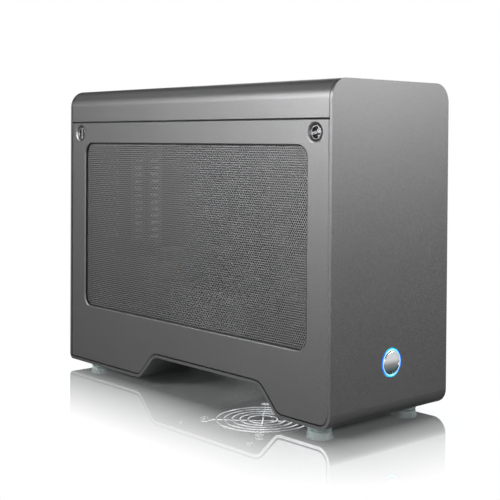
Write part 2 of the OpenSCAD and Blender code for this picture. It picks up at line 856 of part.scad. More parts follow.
// Stepped rail under the cover, with a tab at each end
module rail() {
    strip_top = cover_edge_z + rail_lap;
    along_y(inner_front, inner_rear) polygon([
        [inner_left, strip_top], [inner_left + rail_t, strip_top],
        [inner_left + rail_t, rail_web_z + rail_t], [rail_x + rail_t, rail_web_z + rail_t],
        [rail_x + rail_t, rail_low_z], [rail_x, rail_low_z],
        [rail_x, rail_web_z], [inner_left, rail_web_z]]);
    for (y = [inner_front, inner_rear - rail_t])
        block([rail_x, y, rail_web_z - rail_tab_h],
            [rail_x + rail_t + rail_tab_w, y + rail_t, rail_web_z]);
}
module rail_tab_holes() {
    translate([-rail_tab_x(), inner_rear - rail_t - overrun, rail_web_z - rail_tab_h / 2])
        rotate([-90, 0, 0]) cylinder(d = m3_tap_d, h = rail_t + 2 * overrun);
}
module rail_left() {
    color(steel_tone) difference() {
        rail();
        rail_tab_holes();
        for (y = screw_rows) translate([rail_x - overrun, y, screw_z]) rotate([0, 90, 0])
            cylinder(d = nut_d, h = rail_t + 2 * overrun);
    }
}
module rail_right() {
    color(steel_tone) mirror([1, 0, 0]) difference() {
        rail();
        rail_tab_holes();
    }
}

// Press-in nuts on the rail for the panel screws
module rail_nuts() {
    color(steel_tone) for (y = screw_rows) at_panel_screw(y)
        translate([0, 0, rail_depth]) difference() {
            union() {
                cylinder(d = nut_d, h = nut_l);
                translate([0, 0, rail_t]) cylinder(d = nut_d * 4 / 3, h = nut_l - rail_t);
            }
            translate([0, 0, -overrun])
                cylinder(d = stud_d + 2 * running, h = nut_l + 2 * overrun);
        }
}

// Keepers on the floor that hold the panel's lugs down
module panel_keepers() {
    low = inner_floor;
    lid = low + seam + lug_t + loose;
    wall = inner_left + lug_reach + 2 * loose;
    color(steel_tone) for (y = foot_rows) difference() {
        translate([0, y + keeper_l / 2, 0]) rotate([90, 0, 0]) linear_extrude(keeper_l)
            polygon([[inner_left + lug_t + loose, lid + keeper_t],
                [inner_left + lug_t + loose, lid], [wall, lid], [wall, low],
                [wall + keeper_t + keeper_foot, low],
                [wall + keeper_t + keeper_foot, low + keeper_t],
                [wall + keeper_t, low + keeper_t], [wall + keeper_t, lid + keeper_t]]);
        foot_bore(foot_inset_x + left_x, y);
    }
}
module foot_bore(x, y) {
    translate([x, y, inner_floor - overrun])
        cylinder(d = m3_tap_d, h = keeper_t + 2 * overrun);
}

// Angles that fix the cover's far side to the floor
module cover_brackets() {
    color(steel_tone) for (y = foot_rows) difference() {
        translate([0, y + keeper_l / 2, 0]) rotate([90, 0, 0]) linear_extrude(keeper_l)
            polygon([[inner_right - bracket_flange, inner_floor], [inner_right, inner_floor],
                [inner_right, inner_floor + bracket_flange],
                [inner_right - keeper_t, inner_floor + bracket_flange],
                [inner_right - keeper_t, inner_floor + keeper_t],
                [inner_right - bracket_flange, inner_floor + keeper_t]]);
        foot_bore(right_x - foot_inset_x, y);
    }
}

// Shelf above the supply that carries the slot board
module card_shelf() {
    color(steel_tone) difference() {
        union() {
            block([shelf_left, inner_front, shelf_low], [shelf_right, inner_rear, shelf_top]);
            for (y = [inner_front, inner_rear - shelf_t])
                block([shelf_left, y, shelf_low - shelf_flange],
                    [shelf_right, y + shelf_t, shelf_top]);
            block([shelf_left, inner_front + shelf_t, shelf_low - shelf_gap / 2],
                [shelf_left + shelf_t, inner_rear - shelf_t, shelf_top]);
        }
        for (x = [shelf_left + shelf_side_web, shelf_right - shelf_side_web - shelf_hole_w])
            translate([x, inner_front + shelf_front_web, shelf_low - overrun])
                cube([shelf_hole_w, shelf_hole_l, shelf_t + 2 * overrun]);
        for (p = standoff_places()) translate([p[0], p[1], shelf_low - overrun])
            cylinder(d = m3_hole_d, h = shelf_t + 2 * overrun);
        for (x = [shelf_left + shelf_flange, 0, shelf_right - shelf_flange])
            translate([x, 0, shelf_low - shelf_flange / 2]) rotate([90, 0, 0])
                cylinder(d = m3_tap_d, h = body_l, center = true);
    }
}
function standoff_places() =
    [for (x = [board_left + board_inset, board_right - board_inset],
          y = [board_front + board_inset, (board_front + board_rear) / 2,
               board_rear - board_inset * 2]) [x, y]];

// Studs and nuts that hold the shelf to the back of the front face
module shelf_studs() {
    color(steel_tone)
        for (x = [shelf_left + shelf_flange, 0, shelf_right - shelf_flange])
            translate([x, inner_front, shelf_low - shelf_flange / 2]) rotate([-90, 0, 0]) {
                cylinder(d = m3_d, h = shelf_t + shelf_nut_h * 2);
                translate([0, 0, shelf_t]) cylinder(d = m3_d * 2, h = shelf_nut_h, $fn = 6);
            }
}

// Screws through the rear face into the rails and the shelf
module rear_screws() {
    color(steel_tone) for (p = rear_screw_places())
        rear_screw(p[0], p[1], sheet_t + screw_reach);
}

// Round tapered feet with their screw recess
module feet() {
    color(rubber_tone) for (x = [-1, 1], y = foot_rows)
        translate([x * (right_x - foot_inset_x), y, 0]) difference() {
            cylinder(d1 = foot_bottom_d, d2 = foot_top_d, h = foot_h);
            translate([0, 0, -overrun])
                cylinder(d = m3_head_d + 4 * loose, h = foot_h / 2 + overrun);
            cylinder(d = m3_hole_d, h = foot_h + overrun);
        }
}
module foot_screws() {
    color(steel_tone) for (x = [-1, 1], y = foot_rows)
        translate([x * (right_x - foot_inset_x), y, foot_h / 2]) rotate([180, 0, 0])
            screw(foot_h / 2 + sheet_t + screw_reach);
}

// Pressed disc of the front button with its stem
module button_disc() {
    color(chrome_tone) translate([0, front_y - disc_proud, button_high]) rotate([-90, 0, 0]) {
        difference() {
            union() {
                cylinder(d1 = disc_d - 2 * disc_dish_h, d2 = disc_d, h = disc_dish_h);
                translate([0, 0, disc_dish_h]) cylinder(d = disc_d, h = disc_t - disc_dish_h);
            }
            translate([0, 0, -overrun])
                cylinder(d = disc_d - 4 * disc_dish_h, h = disc_dish_h / 2 + overrun);
        }
        translate([0, 0, disc_t]) cylinder(d = stem_d, h = stem_l);
    }
}

// Lit ring around the disc, held behind the sheet by its flange
module light_ring() {
    color(glow_tone) translate([0, front_y, button_high]) rotate([-90, 0, 0]) difference() {
        union() {
            translate([0, 0, -ring_proud]) cylinder(d = ring_d, h = ring_proud + sheet_t);
            translate([0, 0, sheet_t]) cylinder(d = ring_flange_d, h = ring_flange_t);
        }
        translate([0, 0, -overrun])
            cylinder(d = ring_hole_d, h = sheet_t + ring_flange_t + 2 * overrun);
    }
}

// Housing behind the ring that guides the stem
module button_housing() {
    start = sheet_t + ring_flange_t;
    color(black_tone) translate([0, front_y, button_high]) rotate([-90, 0, 0]) difference() {
        union() {
            translate([0, 0, start]) cylinder(d = housing_d, h = housing_l);
            translate([-housing_plate_w / 2, -housing_plate_h / 2, start])
                cube([housing_plate_w, housing_plate_h, housing_plate_t]);
        }
        translate([0, 0, start - overrun])
            cylinder(d = ring_hole_d, h = housing_l - housing_wall * 2 + overrun);
        cylinder(d = stem_d + 2 * running, h = start + housing_l + overrun);
        for (side = [-1, 1]) translate([side * housing_screw_x, 0, start - overrun])
            cylinder(d = m3_hole_d, h = housing_plate_t + 2 * overrun);
    }
}

// Switch pressed by the stem, on its small yoke
module button_switch() {
    start = switch_start;
    housing_end = sheet_t + ring_flange_t + housing_l;
    color(black_tone) translate([0, front_y, button_high]) rotate([-90, 0, 0]) {
        translate([-switch_w / 2, -switch_w / 2, start]) cube([switch_w, switch_w, switch_l]);
        for (side = [-1, 1])
            translate([side * (switch_w / 2 - housing_wall / 2) - housing_wall / 2, -switch_w / 2,
                housing_end]) cube([housing_wall, switch_w, start - housing_end]);
    }
    color(steel_tone) for (side = [-1, 1])
        translate([side * housing_screw_x, inner_front, button_high]) rotate([-90, 0, 0])
            cylinder(d = m3_d, h = ring_flange_t + housing_plate_t + m3_d);
}

// Folded steel base of the supply: bottom, front and rear
module supply_base() {
    color(steel_tone) difference() {
        block([-supply_w / 2, supply_front, roof_top], [supply_w / 2, supply_rear, supply_top - supply_t]);
        block([-supply_w / 2 - overrun, supply_front + supply_t, roof_top + supply_t],
            [supply_w / 2 + overrun, supply_rear - supply_t, supply_top + overrun]);
        translate([0, tunnel_y, roof_top - overrun])
            cylinder(d = fan_bore_d, h = supply_t + 2 * overrun);
        for (x = [-1, 1], y = [-1, 1]) {
            translate([x * fan_pitch / 2, tunnel_y + y * fan_pitch / 2, roof_top - overrun])
                cylinder(d = fan_hole_d, h = supply_t + 2 * overrun);
            translate([x * supply_screw_x, tunnel_y + y * supply_screw_y, roof_top - overrun])
                cylinder(d = m3_tap_d, h = supply_t + 2 * overrun);
        }
        along_y(supply_rear - supply_t - overrun, supply_rear + overrun) {
            translate([socket_x, socket_z]) mirror([0, 1])
                inlet_outline(inlet_body_w + 2 * loose, inlet_body_h + 2 * loose, inlet_body_cut);
            vent_field(supply_vent_margin - supply_w / 2, 0,
                roof_top + supply_vent_margin, supply_top - supply_vent_margin);
        }
        along_y(supply_front - overrun, supply_front + supply_t + overrun) {
            translate([dc_hole_x, lead_hole_z]) circle(d = dc_d + 2 * loose);
            translate([card_hole_x, lead_hole_z]) circle(d = card_d + 2 * loose);
        }
    }
}

// Lid of the supply: top and both sides
module supply_lid() {
    color(steel_tone) {
        for (side = [-1, 1]) translate([side * (supply_w - supply_t) / 2, tunnel_y, 0])
            block([-supply_t / 2, supply_t - supply_l / 2, roof_top + supply_t],
                [supply_t / 2, supply_l / 2 - supply_t, supply_top]);
        block([-supply_w / 2, supply_front, supply_top - supply_t],
            [supply_w / 2, supply_rear, supply_top]);
    }
}

// Circuit board hung under the supply's lid, with its parts below
module supply_board() {
    rows = [supply_board_front + board_inset, supply_board_rear - board_inset];
    color(board_tone) block([-supply_board_side, supply_board_front, supply_board_low],
        [supply_board_side, supply_board_rear, supply_board_high]);
    color(steel_tone) for (x = [-1, 1], y = rows)
        translate([x * (supply_board_side - board_inset), y, supply_board_high])
            cylinder(d = standoff_d, h = supply_board_gap);
}
module supply_heatsinks() {
    sink_l = supply_l / 2;
    low = fan_top + sheet_sink_gap;
    sink_h = supply_board_low - low;
    t = sheet_sink_t;
    sink_place = core_size[0] / 2 + sheet_sink_side + sheet_sink_w / 2;
    for (side = [-1, 1])
        color(steel_tone) translate([side * sink_place, supply_front + supply_l / 8, 0]) {
            block([-t / 2, 0, low], [t / 2, sink_l, supply_board_low]);
            for (i = [0 : sheet_sink_fins - 1])
                translate([-sheet_sink_w / 2, i * (sink_l - t / 2) / (sheet_sink_fins - 1), low])
                    cube([sheet_sink_w, t / 2, sink_h * 4 / 5]);
        }
}
module supply_coils() {
    color(copper_tone)
        translate([supply_t + coil_side + coil_r + coil_wire / 2 - supply_w / 2, tunnel_y,
            supply_board_low - coil_wire / 2])
            rotate_extrude() translate([coil_r, 0]) circle(d = coil_wire);
    color(gold_tone) translate([-core_size[0] / 2, tunnel_y - core_size[1],
        supply_board_low - core_size[2]]) cube(core_size);
}
module supply_capacitors() {
    color(black_tone) {
        translate([supply_w / 2 - supply_t - tall_can_side - tall_can_d / 2,
            tunnel_y - tall_can_d, supply_board_low - tall_can_h])
            cylinder(d = tall_can_d, h = tall_can_h);
        for (i = [0 : small_cans - 1])
            translate([(i - (small_cans - 1) / 2) * small_can_d * 5 / 4,
                supply_board_rear - small_can_d * 2, supply_board_low - small_can_h])
                cylinder(d = small_can_d, h = small_can_h);
    }
}

// Square frame of the fan with the arms that carry its motor
module fan_frame() {
    color(black_tone) translate([0, tunnel_y, fan_low]) {
        difference() {
            linear_extrude(fan_h) round_rect(fan_w, fan_w, fan_corner_r);
            translate([0, 0, -overrun]) cylinder(d = fan_bore_d, h = fan_h + 2 * overrun);
            for (x = [-1, 1], y = [-1, 1])
                translate([x * fan_pitch / 2, y * fan_pitch / 2, -overrun])
                    cylinder(d = fan_screw_d + 2 * running, h = fan_h + 2 * overrun);
        }
        translate([0, 0, fan_h - fan_base_t]) {
            cylinder(d = hub_d, h = fan_base_t);
            for (i = [0 : 3]) rotate([0, 0, 45 + i * 90])
                translate([hub_d / 3, -fan_web_w / 2, 0])
                    cube([(fan_bore_d + fan_web_w) / 2 - hub_d / 3, fan_web_w, fan_base_t]);
        }
    }
}

// Rotor with curved blades on a hollow hub
module fan_rotor() {
    tip_r = fan_bore_d / 2 - tip_gap;
    height = rotor_top - rotor_low;
    color(black_tone) translate([0, tunnel_y, rotor_low]) {
        difference() {
            cylinder(d = hub_d, h = height);
            translate([0, 0, hub_wall]) cylinder(d = hub_d - 2 * hub_wall, h = height);
        }
        cylinder(d = shaft_d, h = height + rotor_gap - loose);
        intersection() {
            difference() {
                cylinder(r = tip_r, h = height);
                translate([0, 0, -overrun]) cylinder(d = hub_d - hub_wall, h = height + 2 * overrun);
            }
            for (i = [0 : blade_count - 1]) rotate([0, 0, i * 360 / blade_count])
                translate([hub_d / 2 - hub_wall, 0, height / 2]) rotate([blade_pitch_angle, 0, 0])
                    translate([0, 0, -blade_curve_r]) rotate([0, 90, 0]) difference() {
                        cylinder(r = blade_curve_r + blade_t / 2, h = tip_r);
                        translate([0, 0, -overrun])
                            cylinder(r = blade_curve_r - blade_t / 2, h = tip_r + 2 * overrun);
                        translate([-blade_curve_r / 2, -blade_curve_r * 2, -overrun])
                            cube([blade_curve_r * 4, blade_curve_r * 4, tip_r + 2 * overrun]);
                    }
        }
    }
}

// Motor of the fan: bearing bush and winding, fixed to the frame
module fan_motor() {
    height = rotor_top - rotor_low - hub_wall - rotor_gap;
    color(copper_tone) translate([0, tunnel_y, fan_top - fan_base_t - height]) difference() {
        union() {
            cylinder(d = bush_d, h = height);
            translate([0, 0, height / 5]) cylinder(d = stator_d, h = height * 4 / 5);
        }
        translate([0, 0, -overrun]) cylinder(d = shaft_d + 2 * running, h = height + overrun);
    }
}

// Wire guard under the tunnel roof: rings, two crossing wires and four ears
module fan_guard() {
    ring_z = roof_z - guard_drop;
    strut_z = ring_z + guard_wire * 4 / 5;
    ear_z = roof_z - guard_wire / 2;
    corner = fan_pitch / sqrt(2);
    bend = guard_r + guard_wire;
    color(chrome_tone) translate([0, tunnel_y, 0]) {
        for (i = [0 : guard_rings - 1])
            translate([0, 0, ring_z]) rotate_extrude() translate([guard_r - i * guard_step, 0])
                circle(d = guard_wire, $fn = 24);
        for (i = [0 : 3]) rotate([0, 0, 45 + i * 90]) {
            rod([0, 0, strut_z], [bend, 0, strut_z], guard_wire);
            translate([bend, 0, strut_z]) sphere(d = guard_wire + 2 * running);
            rod([bend, 0, strut_z], [corner - eye_r + guard_wire / 4, 0, ear_z], guard_wire);
            translate([corner, 0, ear_z]) rotate_extrude() translate([eye_r, 0])
                circle(d = guard_wire, $fn = 24);
        }
    }
}
module guard_screws() {
    color(chrome_tone) for (x = [-1, 1], y = [-1, 1])
        translate([x * fan_pitch / 2, tunnel_y + y * fan_pitch / 2, roof_z - guard_wire])
            rotate([180, 0, 0])
                screw(guard_wire + sheet_t + supply_t + fan_h * 2 / 3, fan_screw_head_d,
                    fan_screw_head_h, fan_screw_d);
}
module supply_screws() {
    color(chrome_tone) for (x = [-1, 1], y = [-1, 1])
        translate([x * supply_screw_x, tunnel_y + y * supply_screw_y, roof_z])
            rotate([180, 0, 0]) screw(sheet_t + supply_t + screw_reach / 2);
}

// Shape of a mains inlet seen from its face, with two corners cut off
module inlet_outline(w, h, c) {
    polygon([[c - w / 2, -h / 2], [w / 2 - c, -h / 2], [w / 2, c - h / 2], [w / 2, h / 2],
        [-w / 2, h / 2], [-w / 2, c - h / 2]]);
}

// Inlet on the supply and the plug of the inner mains lead in it
module supply_socket() {
    color(black_tone) translate([socket_x, supply_rear - inlet_body_l + supply_t, socket_z])
        rotate([-90, 0, 0]) difference() {
            linear_extrude(inlet_body_l - supply_t)
                inlet_outline(inlet_body_w, inlet_body_h, inlet_body_cut);
            translate([0, 0, inlet_body_l - inlet_cavity_l]) linear_extrude(inlet_body_l)
                inlet_outline(inlet_cavity_w, inlet_cavity_h, inlet_cavity_cut);
        }
}
module supply_plug() {
    color(black_tone) translate([socket_x, plug_front, socket_z]) rotate([-90, 0, 0]) {
        linear_extrude(grip_l) inlet_outline(inlet_cavity_w - 2 * loose,
            inlet_cavity_h - 2 * loose, inlet_cavity_cut);
        translate([0, 0, grip_l])
            cylinder(d1 = inlet_cavity_h - 4 * loose, d2 = mains_d + 4 * loose, h = grip_taper_l);
    }
}

// Leads from the rear inlet to the supply and to the rocker
module mains_lead() {
    color(black_tone) lead(mains_route, mains_d);
}
module switch_leads() {
    color(copper_tone) for (r = switch_routes) lead(r, switch_d);
}

// Mains inlet in the rear face: flange, body and cavity
module mains_inlet() {
    color(black_tone) translate([inlet_x, rear_y, inlet_z]) rotate([-90, 0, 0]) difference() {
        union() {
            linear_extrude(inlet_flange_t) round_rect(inlet_w, inlet_h, inlet_flange_r);
            translate([0, 0, -inlet_body_l + inlet_flange_t]) linear_extrude(inlet_body_l)
                inlet_outline(inlet_body_w, inlet_body_h, inlet_body_cut);
        }
        translate([0, 0, inlet_flange_t - inlet_cavity_l])
            linear_extrude(inlet_cavity_l + overrun)
                inlet_outline(inlet_cavity_w, inlet_cavity_h, inlet_cavity_cut);
        for (side = [-1, 1]) translate([side * inlet_screw_pitch / 2, 0, -overrun])
            cylinder(d = m3_hole_d, h = inlet_flange_t + 2 * overrun);
        for (i = [-1 : 1]) translate([i * inlet_pin_gap - inlet_pin_t / 2,
            pin_height(i) - inlet_pin_w / 2, -inlet_body_l])
            cube([inlet_pin_t, inlet_pin_w, inlet_body_l]);
    }
}
function pin_height(i) = i == 0 ? -inlet_pin_shift : inlet_pin_shift;
module inlet_pins() {
    color(steel_tone) translate([inlet_x, rear_y + inlet_flange_t, inlet_z])
        rotate([-90, 0, 0]) for (i = [-1 : 1])
            translate([i * inlet_pin_gap - inlet_pin_t / 2, pin_height(i) - inlet_pin_w / 2,
                -inlet_body_l])
                cube([inlet_pin_t, inlet_pin_w, inlet_body_l - inlet_cavity_l + inlet_pin_l]);
}
module inlet_screws() {
    color(steel_tone) for (side = [-1, 1])
        translate([inlet_x + side * inlet_screw_pitch / 2, rear_y + inlet_flange_t, inlet_z])
            rotate([-90, 0, 0]) screw(inlet_flange_t + sheet_t + screw_reach);
}

// Bezel and box of the power rocker
module rocker_bezel() {
    box_w = rocker_l - 2 * rocker_lip;
    box_h = rocker_h - 2 * rocker_lip;
    color(black_tone) translate([rocker_x, rear_y, rocker_z]) rotate([-90, 0, 0]) difference() {
        union() {
            linear_extrude(rocker_bezel_t) round_rect(rocker_l, rocker_h, rocker_lip);
            translate([-box_w / 2, -box_h / 2, -rocker_box_l])
                cube([box_w, box_h, rocker_box_l]);
        }
        translate([rocker_wall - box_w / 2, rocker_wall - box_h / 2, rocker_wall - rocker_box_l])
            cube([box_w - 2 * rocker_wall, box_h - 2 * rocker_wall, rocker_box_l * 2]);
        translate([0, 0, rocker_pivot_depth]) rotate([90, 0, 0])
            cylinder(d = rocker_pin_d + 2 * running, h = box_h - rocker_wall, center = true);
        for (side = [-1, 1]) translate([side * rocker_tag[0], -side * rocker_tag[1],
            -rocker_box_l - overrun])
            cylinder(d = switch_d + 2 * loose, h = rocker_wall + 2 * overrun);
    }
}

// Rocker on its pivot: its outer face is bent in the middle, so one half stands proud
module rocker() {
    box_w = rocker_l - 2 * rocker_lip - 2 * rocker_wall;
    box_h = rocker_h - 2 * rocker_lip - 2 * rocker_wall;
    half = box_w / 2 - 4 * loose;
    rise = half * tan(rocker_swing / 2);
    color(black_tone) translate([rocker_x, rear_y + rocker_pivot_depth, rocker_z]) {
        linear_extrude(box_h - 2 * loose, center = true) rotate([0, 0, rocker_swing / 2])
            polygon([[-half, -rocker_lip], [half, -rocker_lip], [half, rocker_crown - rocker_lip + rise],
                [0, rocker_crown - rocker_lip], [-half, rocker_crown - rocker_lip + rise]]);
        cylinder(d = rocker_pin_d, h = box_h + rocker_wall - loose, center = true);
    }
}

// Slot board with its standoffs and parts
module slot_board() {
    color(board_tone) difference() {
        block([board_left, board_front, board_low], [board_right, board_rear, board_top]);
        for (p = standoff_places()) translate([p[0], p[1], board_low - overrun])
            cylinder(d = m3_hole_d, h = board_t + 2 * overrun);
    }
}
module board_standoffs() {
    color(gold_tone) for (p = standoff_places()) translate([p[0], p[1], shelf_top]) {
        cylinder(d = standoff_d, h = standoff_h, $fn = 6);
        translate([0, 0, -shelf_t]) cylinder(d = m3_d, h = shelf_t);
        cylinder(d = m3_d, h = standoff_h + board_t);
        translate([0, 0, standoff_h + board_t]) cylinder(d = standoff_d, h = m3_head_h);
    }
}
module card_connector() {
    rear = inner_rear - connector_setback;
    key_y = rear - slot_l / 8;
    color(black_tone) difference() {
        block([card_x - connector_w / 2, rear - slot_l, board_top],
            [card_x + connector_w / 2, rear, board_top + slot_h]);
        block([card_x - connector_groove_w / 2, rear - slot_l + connector_groove_w,
            board_top + slot_h - connector_groove_h],
            [card_x + connector_groove_w / 2, key_y - connector_groove_w, body_top]);
        block([card_x - connector_groove_w / 2, key_y, board_top + slot_h - connector_groove_h],
            [card_x + connector_groove_w / 2, rear - connector_groove_w, body_top]);
    }
}
module board_heatsink() {
    fin_t = sink_size[2] / 2;
    color(black_tone) translate([sink_x, board_rear - sink_setback, board_top]) {
        cube(sink_size);
        for (i = [0 : sink_pins - 1])
            translate([i * (sink_size[0] - fin_t) / (sink_pins - 1), 0, 0])
                cube([fin_t, sink_size[1], sink_size[2] + sink_pin_h]);
    }
}
module board_parts() {
    color(black_tone) {
        translate([power_plug_x - power_plug_size[0] / 2, power_plug_y, board_top])
            cube(power_plug_size);
        translate([header_x - header_size[0] / 2, header_y, board_top])
            cube(header_size);
        for (i = [0 : 1])
            translate([sink_x + i * chip_step, board_rear - chip_setback, board_top])
                cube(chip_size);
    }
    color(steel_tone) for (i = [0 : can_count - 1])
        translate([sink_x + i * can_step, board_rear - can_setback, board_top])
            cylinder(d = can_d, h = can_h);
}
module port_shells() {
    color(steel_tone) for (x = port_rows)
        translate([x, rear_y + port_proud, board_top + port_h / 2]) rotate([90, 0, 0])
            difference() {
                linear_extrude(port_l) round_rect(port_w, port_h, port_h / 2 - running);
                translate([0, 0, -overrun]) linear_extrude(port_l - port_t + overrun)
                    round_rect(port_w - 2 * port_t, port_h - 2 * port_t, port_h / 2 - 2 * port_t);
            }
    color(black_tone) for (x = port_rows)
        translate([x - port_w / 3, rear_y + port_proud - port_l, board_top + port_h / 2 - port_t])
            cube([port_w * 2 / 3, port_l - port_h / 2, 2 * port_t]);
}

// Vented blank covers in the card slots, with a bent tab on top and a tongue below
module slot_blanks() {
    low = ledge_z - blank_h;
    color(steel_tone) for (i = [0 : slot_count - 1]) translate([slot_x(i), 0, 0]) difference() {
        union() {
            block([-blank_w / 2, inner_rear - blank_t, low + blank_tongue_h],
                [blank_w / 2, inner_rear, ledge_z + blank_t]);
            block([-blank_tongue_w / 2, inner_rear - blank_t, low],
                [blank_tongue_w / 2, inner_rear, low + blank_tongue_h + blank_t]);
            block([-blank_w / 2, inner_rear - blank_tab, ledge_z],
                [blank_w / 2, inner_rear, ledge_z + blank_t]);
        }
        for (k = [0 : blank_slit_count - 1])
            translate([-blank_slit_w / 2, inner_rear - blank_t - overrun,
                slot_opening_low + blank_slit_pitch * (k + 1)])
                cube([blank_slit_w, blank_t + 2 * overrun, blank_slit_h]);
        translate([0, inner_rear - blank_tab / 2, ledge_z - overrun])
            cylinder(d = m3_hole_d, h = blank_t + 2 * overrun);
    }
}
module slot_ledge() {
    middle = (slot_x(0) + slot_x(slot_count - 1)) / 2;
    rear = inner_rear - blank_t - loose;
    color(steel_tone) difference() {
        union() {
            block([middle - ledge_w / 2, inner_rear - blank_tab - ledge_t, ledge_z - ledge_t],
                [middle + ledge_w / 2, rear, ledge_z]);
            for (side = [-1, 1])
                translate([middle + side * (ledge_w - ledge_t) / 2 - ledge_t / 2,
                    inner_rear - blank_tab - ledge_t, ledge_z - blank_tab])
                    cube([ledge_t, blank_tab + ledge_t, blank_tab + blank_t]);
        }
        for (i = [0 : slot_count - 1])
            translate([slot_x(i), inner_rear - blank_tab / 2, ledge_z - ledge_t - overrun])
                cylinder(d = m3_tap_d, h = ledge_t + 2 * overrun);
    }
}
module blank_screws() {
    color(steel_tone) for (i = [0 : slot_count - 1])
        translate([slot_x(i), inner_rear - blank_tab / 2, ledge_z + blank_t])
            screw(blank_t + ledge_t + screw_reach);
}

// Leads from the supply to the board and the card, and from the button to the board
module dc_lead() {
    color(black_tone) lead(dc_route, dc_d);
}
module card_lead() {
    color(black_tone) lead(card_route, card_d);
}
module card_plugs() {
    color(black_tone) translate([card_plug_x - card_plug_size[0] / 2, card_plug_y, shelf_top])
        cube(card_plug_size);
}
module button_lead() {
    color(black_tone) lead(button_route, button_lead_d);
}

wrap_frame();
top_cover();
side_panel();
panel_mesh();
mesh_rivets();
screw_cups();
panel_lugs();
panel_screw_front();
panel_screw_rear();
screw_clip_front();
screw_clip_rear();
rail_left();
rail_right();
rail_nuts();
panel_keepers();
cover_brackets();
card_shelf();
shelf_studs();
rear_screws();
feet();
foot_screws();
button_disc();
light_ring();
button_housing();
button_switch();
supply_base();
supply_lid();
supply_board();
supply_heatsinks();
supply_coils();
supply_capacitors();
fan_frame();
fan_rotor();
fan_motor();
fan_guard();
guard_screws();
supply_screws();
supply_socket();
supply_plug();
mains_lead();
switch_leads();
mains_inlet();
inlet_pins();
inlet_screws();
rocker_bezel();
rocker();
slot_board();
board_standoffs();
card_connector();
board_heatsink();
board_parts();
port_shells();
slot_blanks();
slot_ledge();
blank_screws();
dc_lead();
card_lead();
card_plugs();
button_lead();
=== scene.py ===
import json
import math

import bmesh
import bpy
import numpy as np
from mathutils import Matrix, Vector


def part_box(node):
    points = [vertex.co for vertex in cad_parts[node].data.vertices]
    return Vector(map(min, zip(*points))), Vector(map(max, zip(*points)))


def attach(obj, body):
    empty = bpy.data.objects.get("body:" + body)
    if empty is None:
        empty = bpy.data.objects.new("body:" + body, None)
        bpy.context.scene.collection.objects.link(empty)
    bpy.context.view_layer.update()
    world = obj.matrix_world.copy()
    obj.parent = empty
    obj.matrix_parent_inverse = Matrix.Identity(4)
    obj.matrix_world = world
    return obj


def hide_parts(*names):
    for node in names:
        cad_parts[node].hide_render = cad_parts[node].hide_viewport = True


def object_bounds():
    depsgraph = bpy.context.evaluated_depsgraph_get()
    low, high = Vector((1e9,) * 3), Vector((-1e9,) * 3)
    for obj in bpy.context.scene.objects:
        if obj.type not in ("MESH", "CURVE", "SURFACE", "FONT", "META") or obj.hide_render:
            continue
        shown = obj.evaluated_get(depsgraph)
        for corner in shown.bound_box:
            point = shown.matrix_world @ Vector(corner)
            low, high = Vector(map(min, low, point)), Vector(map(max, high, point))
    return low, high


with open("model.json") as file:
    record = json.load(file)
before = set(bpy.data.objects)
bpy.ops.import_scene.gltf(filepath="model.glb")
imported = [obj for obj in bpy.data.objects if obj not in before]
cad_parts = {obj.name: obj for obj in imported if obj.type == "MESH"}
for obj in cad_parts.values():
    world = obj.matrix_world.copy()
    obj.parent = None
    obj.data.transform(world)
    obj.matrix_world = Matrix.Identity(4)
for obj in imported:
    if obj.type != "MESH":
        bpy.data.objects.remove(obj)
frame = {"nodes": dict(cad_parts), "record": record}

MM = 0.001
CAD_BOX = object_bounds()
NODE_SLOT = {part["node"]: part["material_slot"] for part in frame["record"]["subparts"]}
NODE_BODY = {
    node: body
    for body, nodes in frame["record"]["behaviour"]["bodies"].items()
    for node in nodes
}

# Camera of the photograph: where it stood and how it was turned, from the body's edges
CAMERA_PLACE = (-0.6122, -0.7013, 0.2147)
CAMERA_AZIMUTH = 41.55
CAMERA_PITCH = -1.003
CAMERA_ROLL = 0.361
CAMERA_LENS = 76.19
CAMERA_SHIFT_Y = -0.1785
CAMERA_REACH = 50

# Lamps: place, aim, width, height and power
LAMPS = {
    "left_box": ((-1.34, 0.64, 0.6), (0, -0.15, 0.2), 0.7, 0.62, 54),
    "rear_box": ((0.35, 1.35, 1.45), (0, 0, 0.25), 2.0, 0.8, 28),
    "back_box": ((1.35, 1.15, 0.95), (0, 0, 0.2), 1.1, 0.5, 18),
    "front_box": ((-1.45, -1.1, 0.4), (0, 0, 0.15), 0.6, 0.7, 26),
    "right_box": ((1.03, -1.32, 0.67), (0, -0.17, 0.2), 0.9, 0.7, 39),
    "top_box": ((0, 0, 1.8), (0, 0, 0), 1.6, 1.6, 6),
}

# World: white round the horizon and grey above it
HORIZON_WHITE = 0.3
SKY_START = 0.55
SKY_GREY = 0.3

# Floor: a mirror at the object's foot that fades into plain white with the distance
FLOOR_REACH = 9.0
FOOTPRINT = (0.0665, 0.174, 0)
MIRROR_REACH = 0.1
SHADE_REACH = 0.012
MIRROR_PART = 0.88
FLOOR_DEPTH = 0.02 * MM
CIRCLE_SIDES = 96

# Tones and grain of the metal sheet
SHELL_TONE = (0.074, 0.074, 0.075)
MESH_TONE = (0.1, 0.1, 0.101)
GRAIN_SCALE = 900
SPECK_SCALE = 3600
GRAIN_DEPTH = 0.02 * MM
SPECK_DEPTH = 0.01 * MM
BRUSH_X = (1, 22, 22)
BLACK = (0.02, 0.02, 0.022)

# Painted shade on the shell's inner faces: how far it reaches, inside the skin, and its share of the
# colour
INNER_LOW = 32 * MM
INNER_HIGH = 246 * MM
INNER_SIDE = 65.2 * MM
INNER_END = 172.7 * MM
SOFT_EDGE = 0.1 * MM
INNER_SHADE = (0.25, 0.25, 0.25)

# Mesh behind the window
MESH_PITCH = 2.1 * MM
MESH_HOLE = 1.54 * MM
MESH_SHEET = 1 * MM

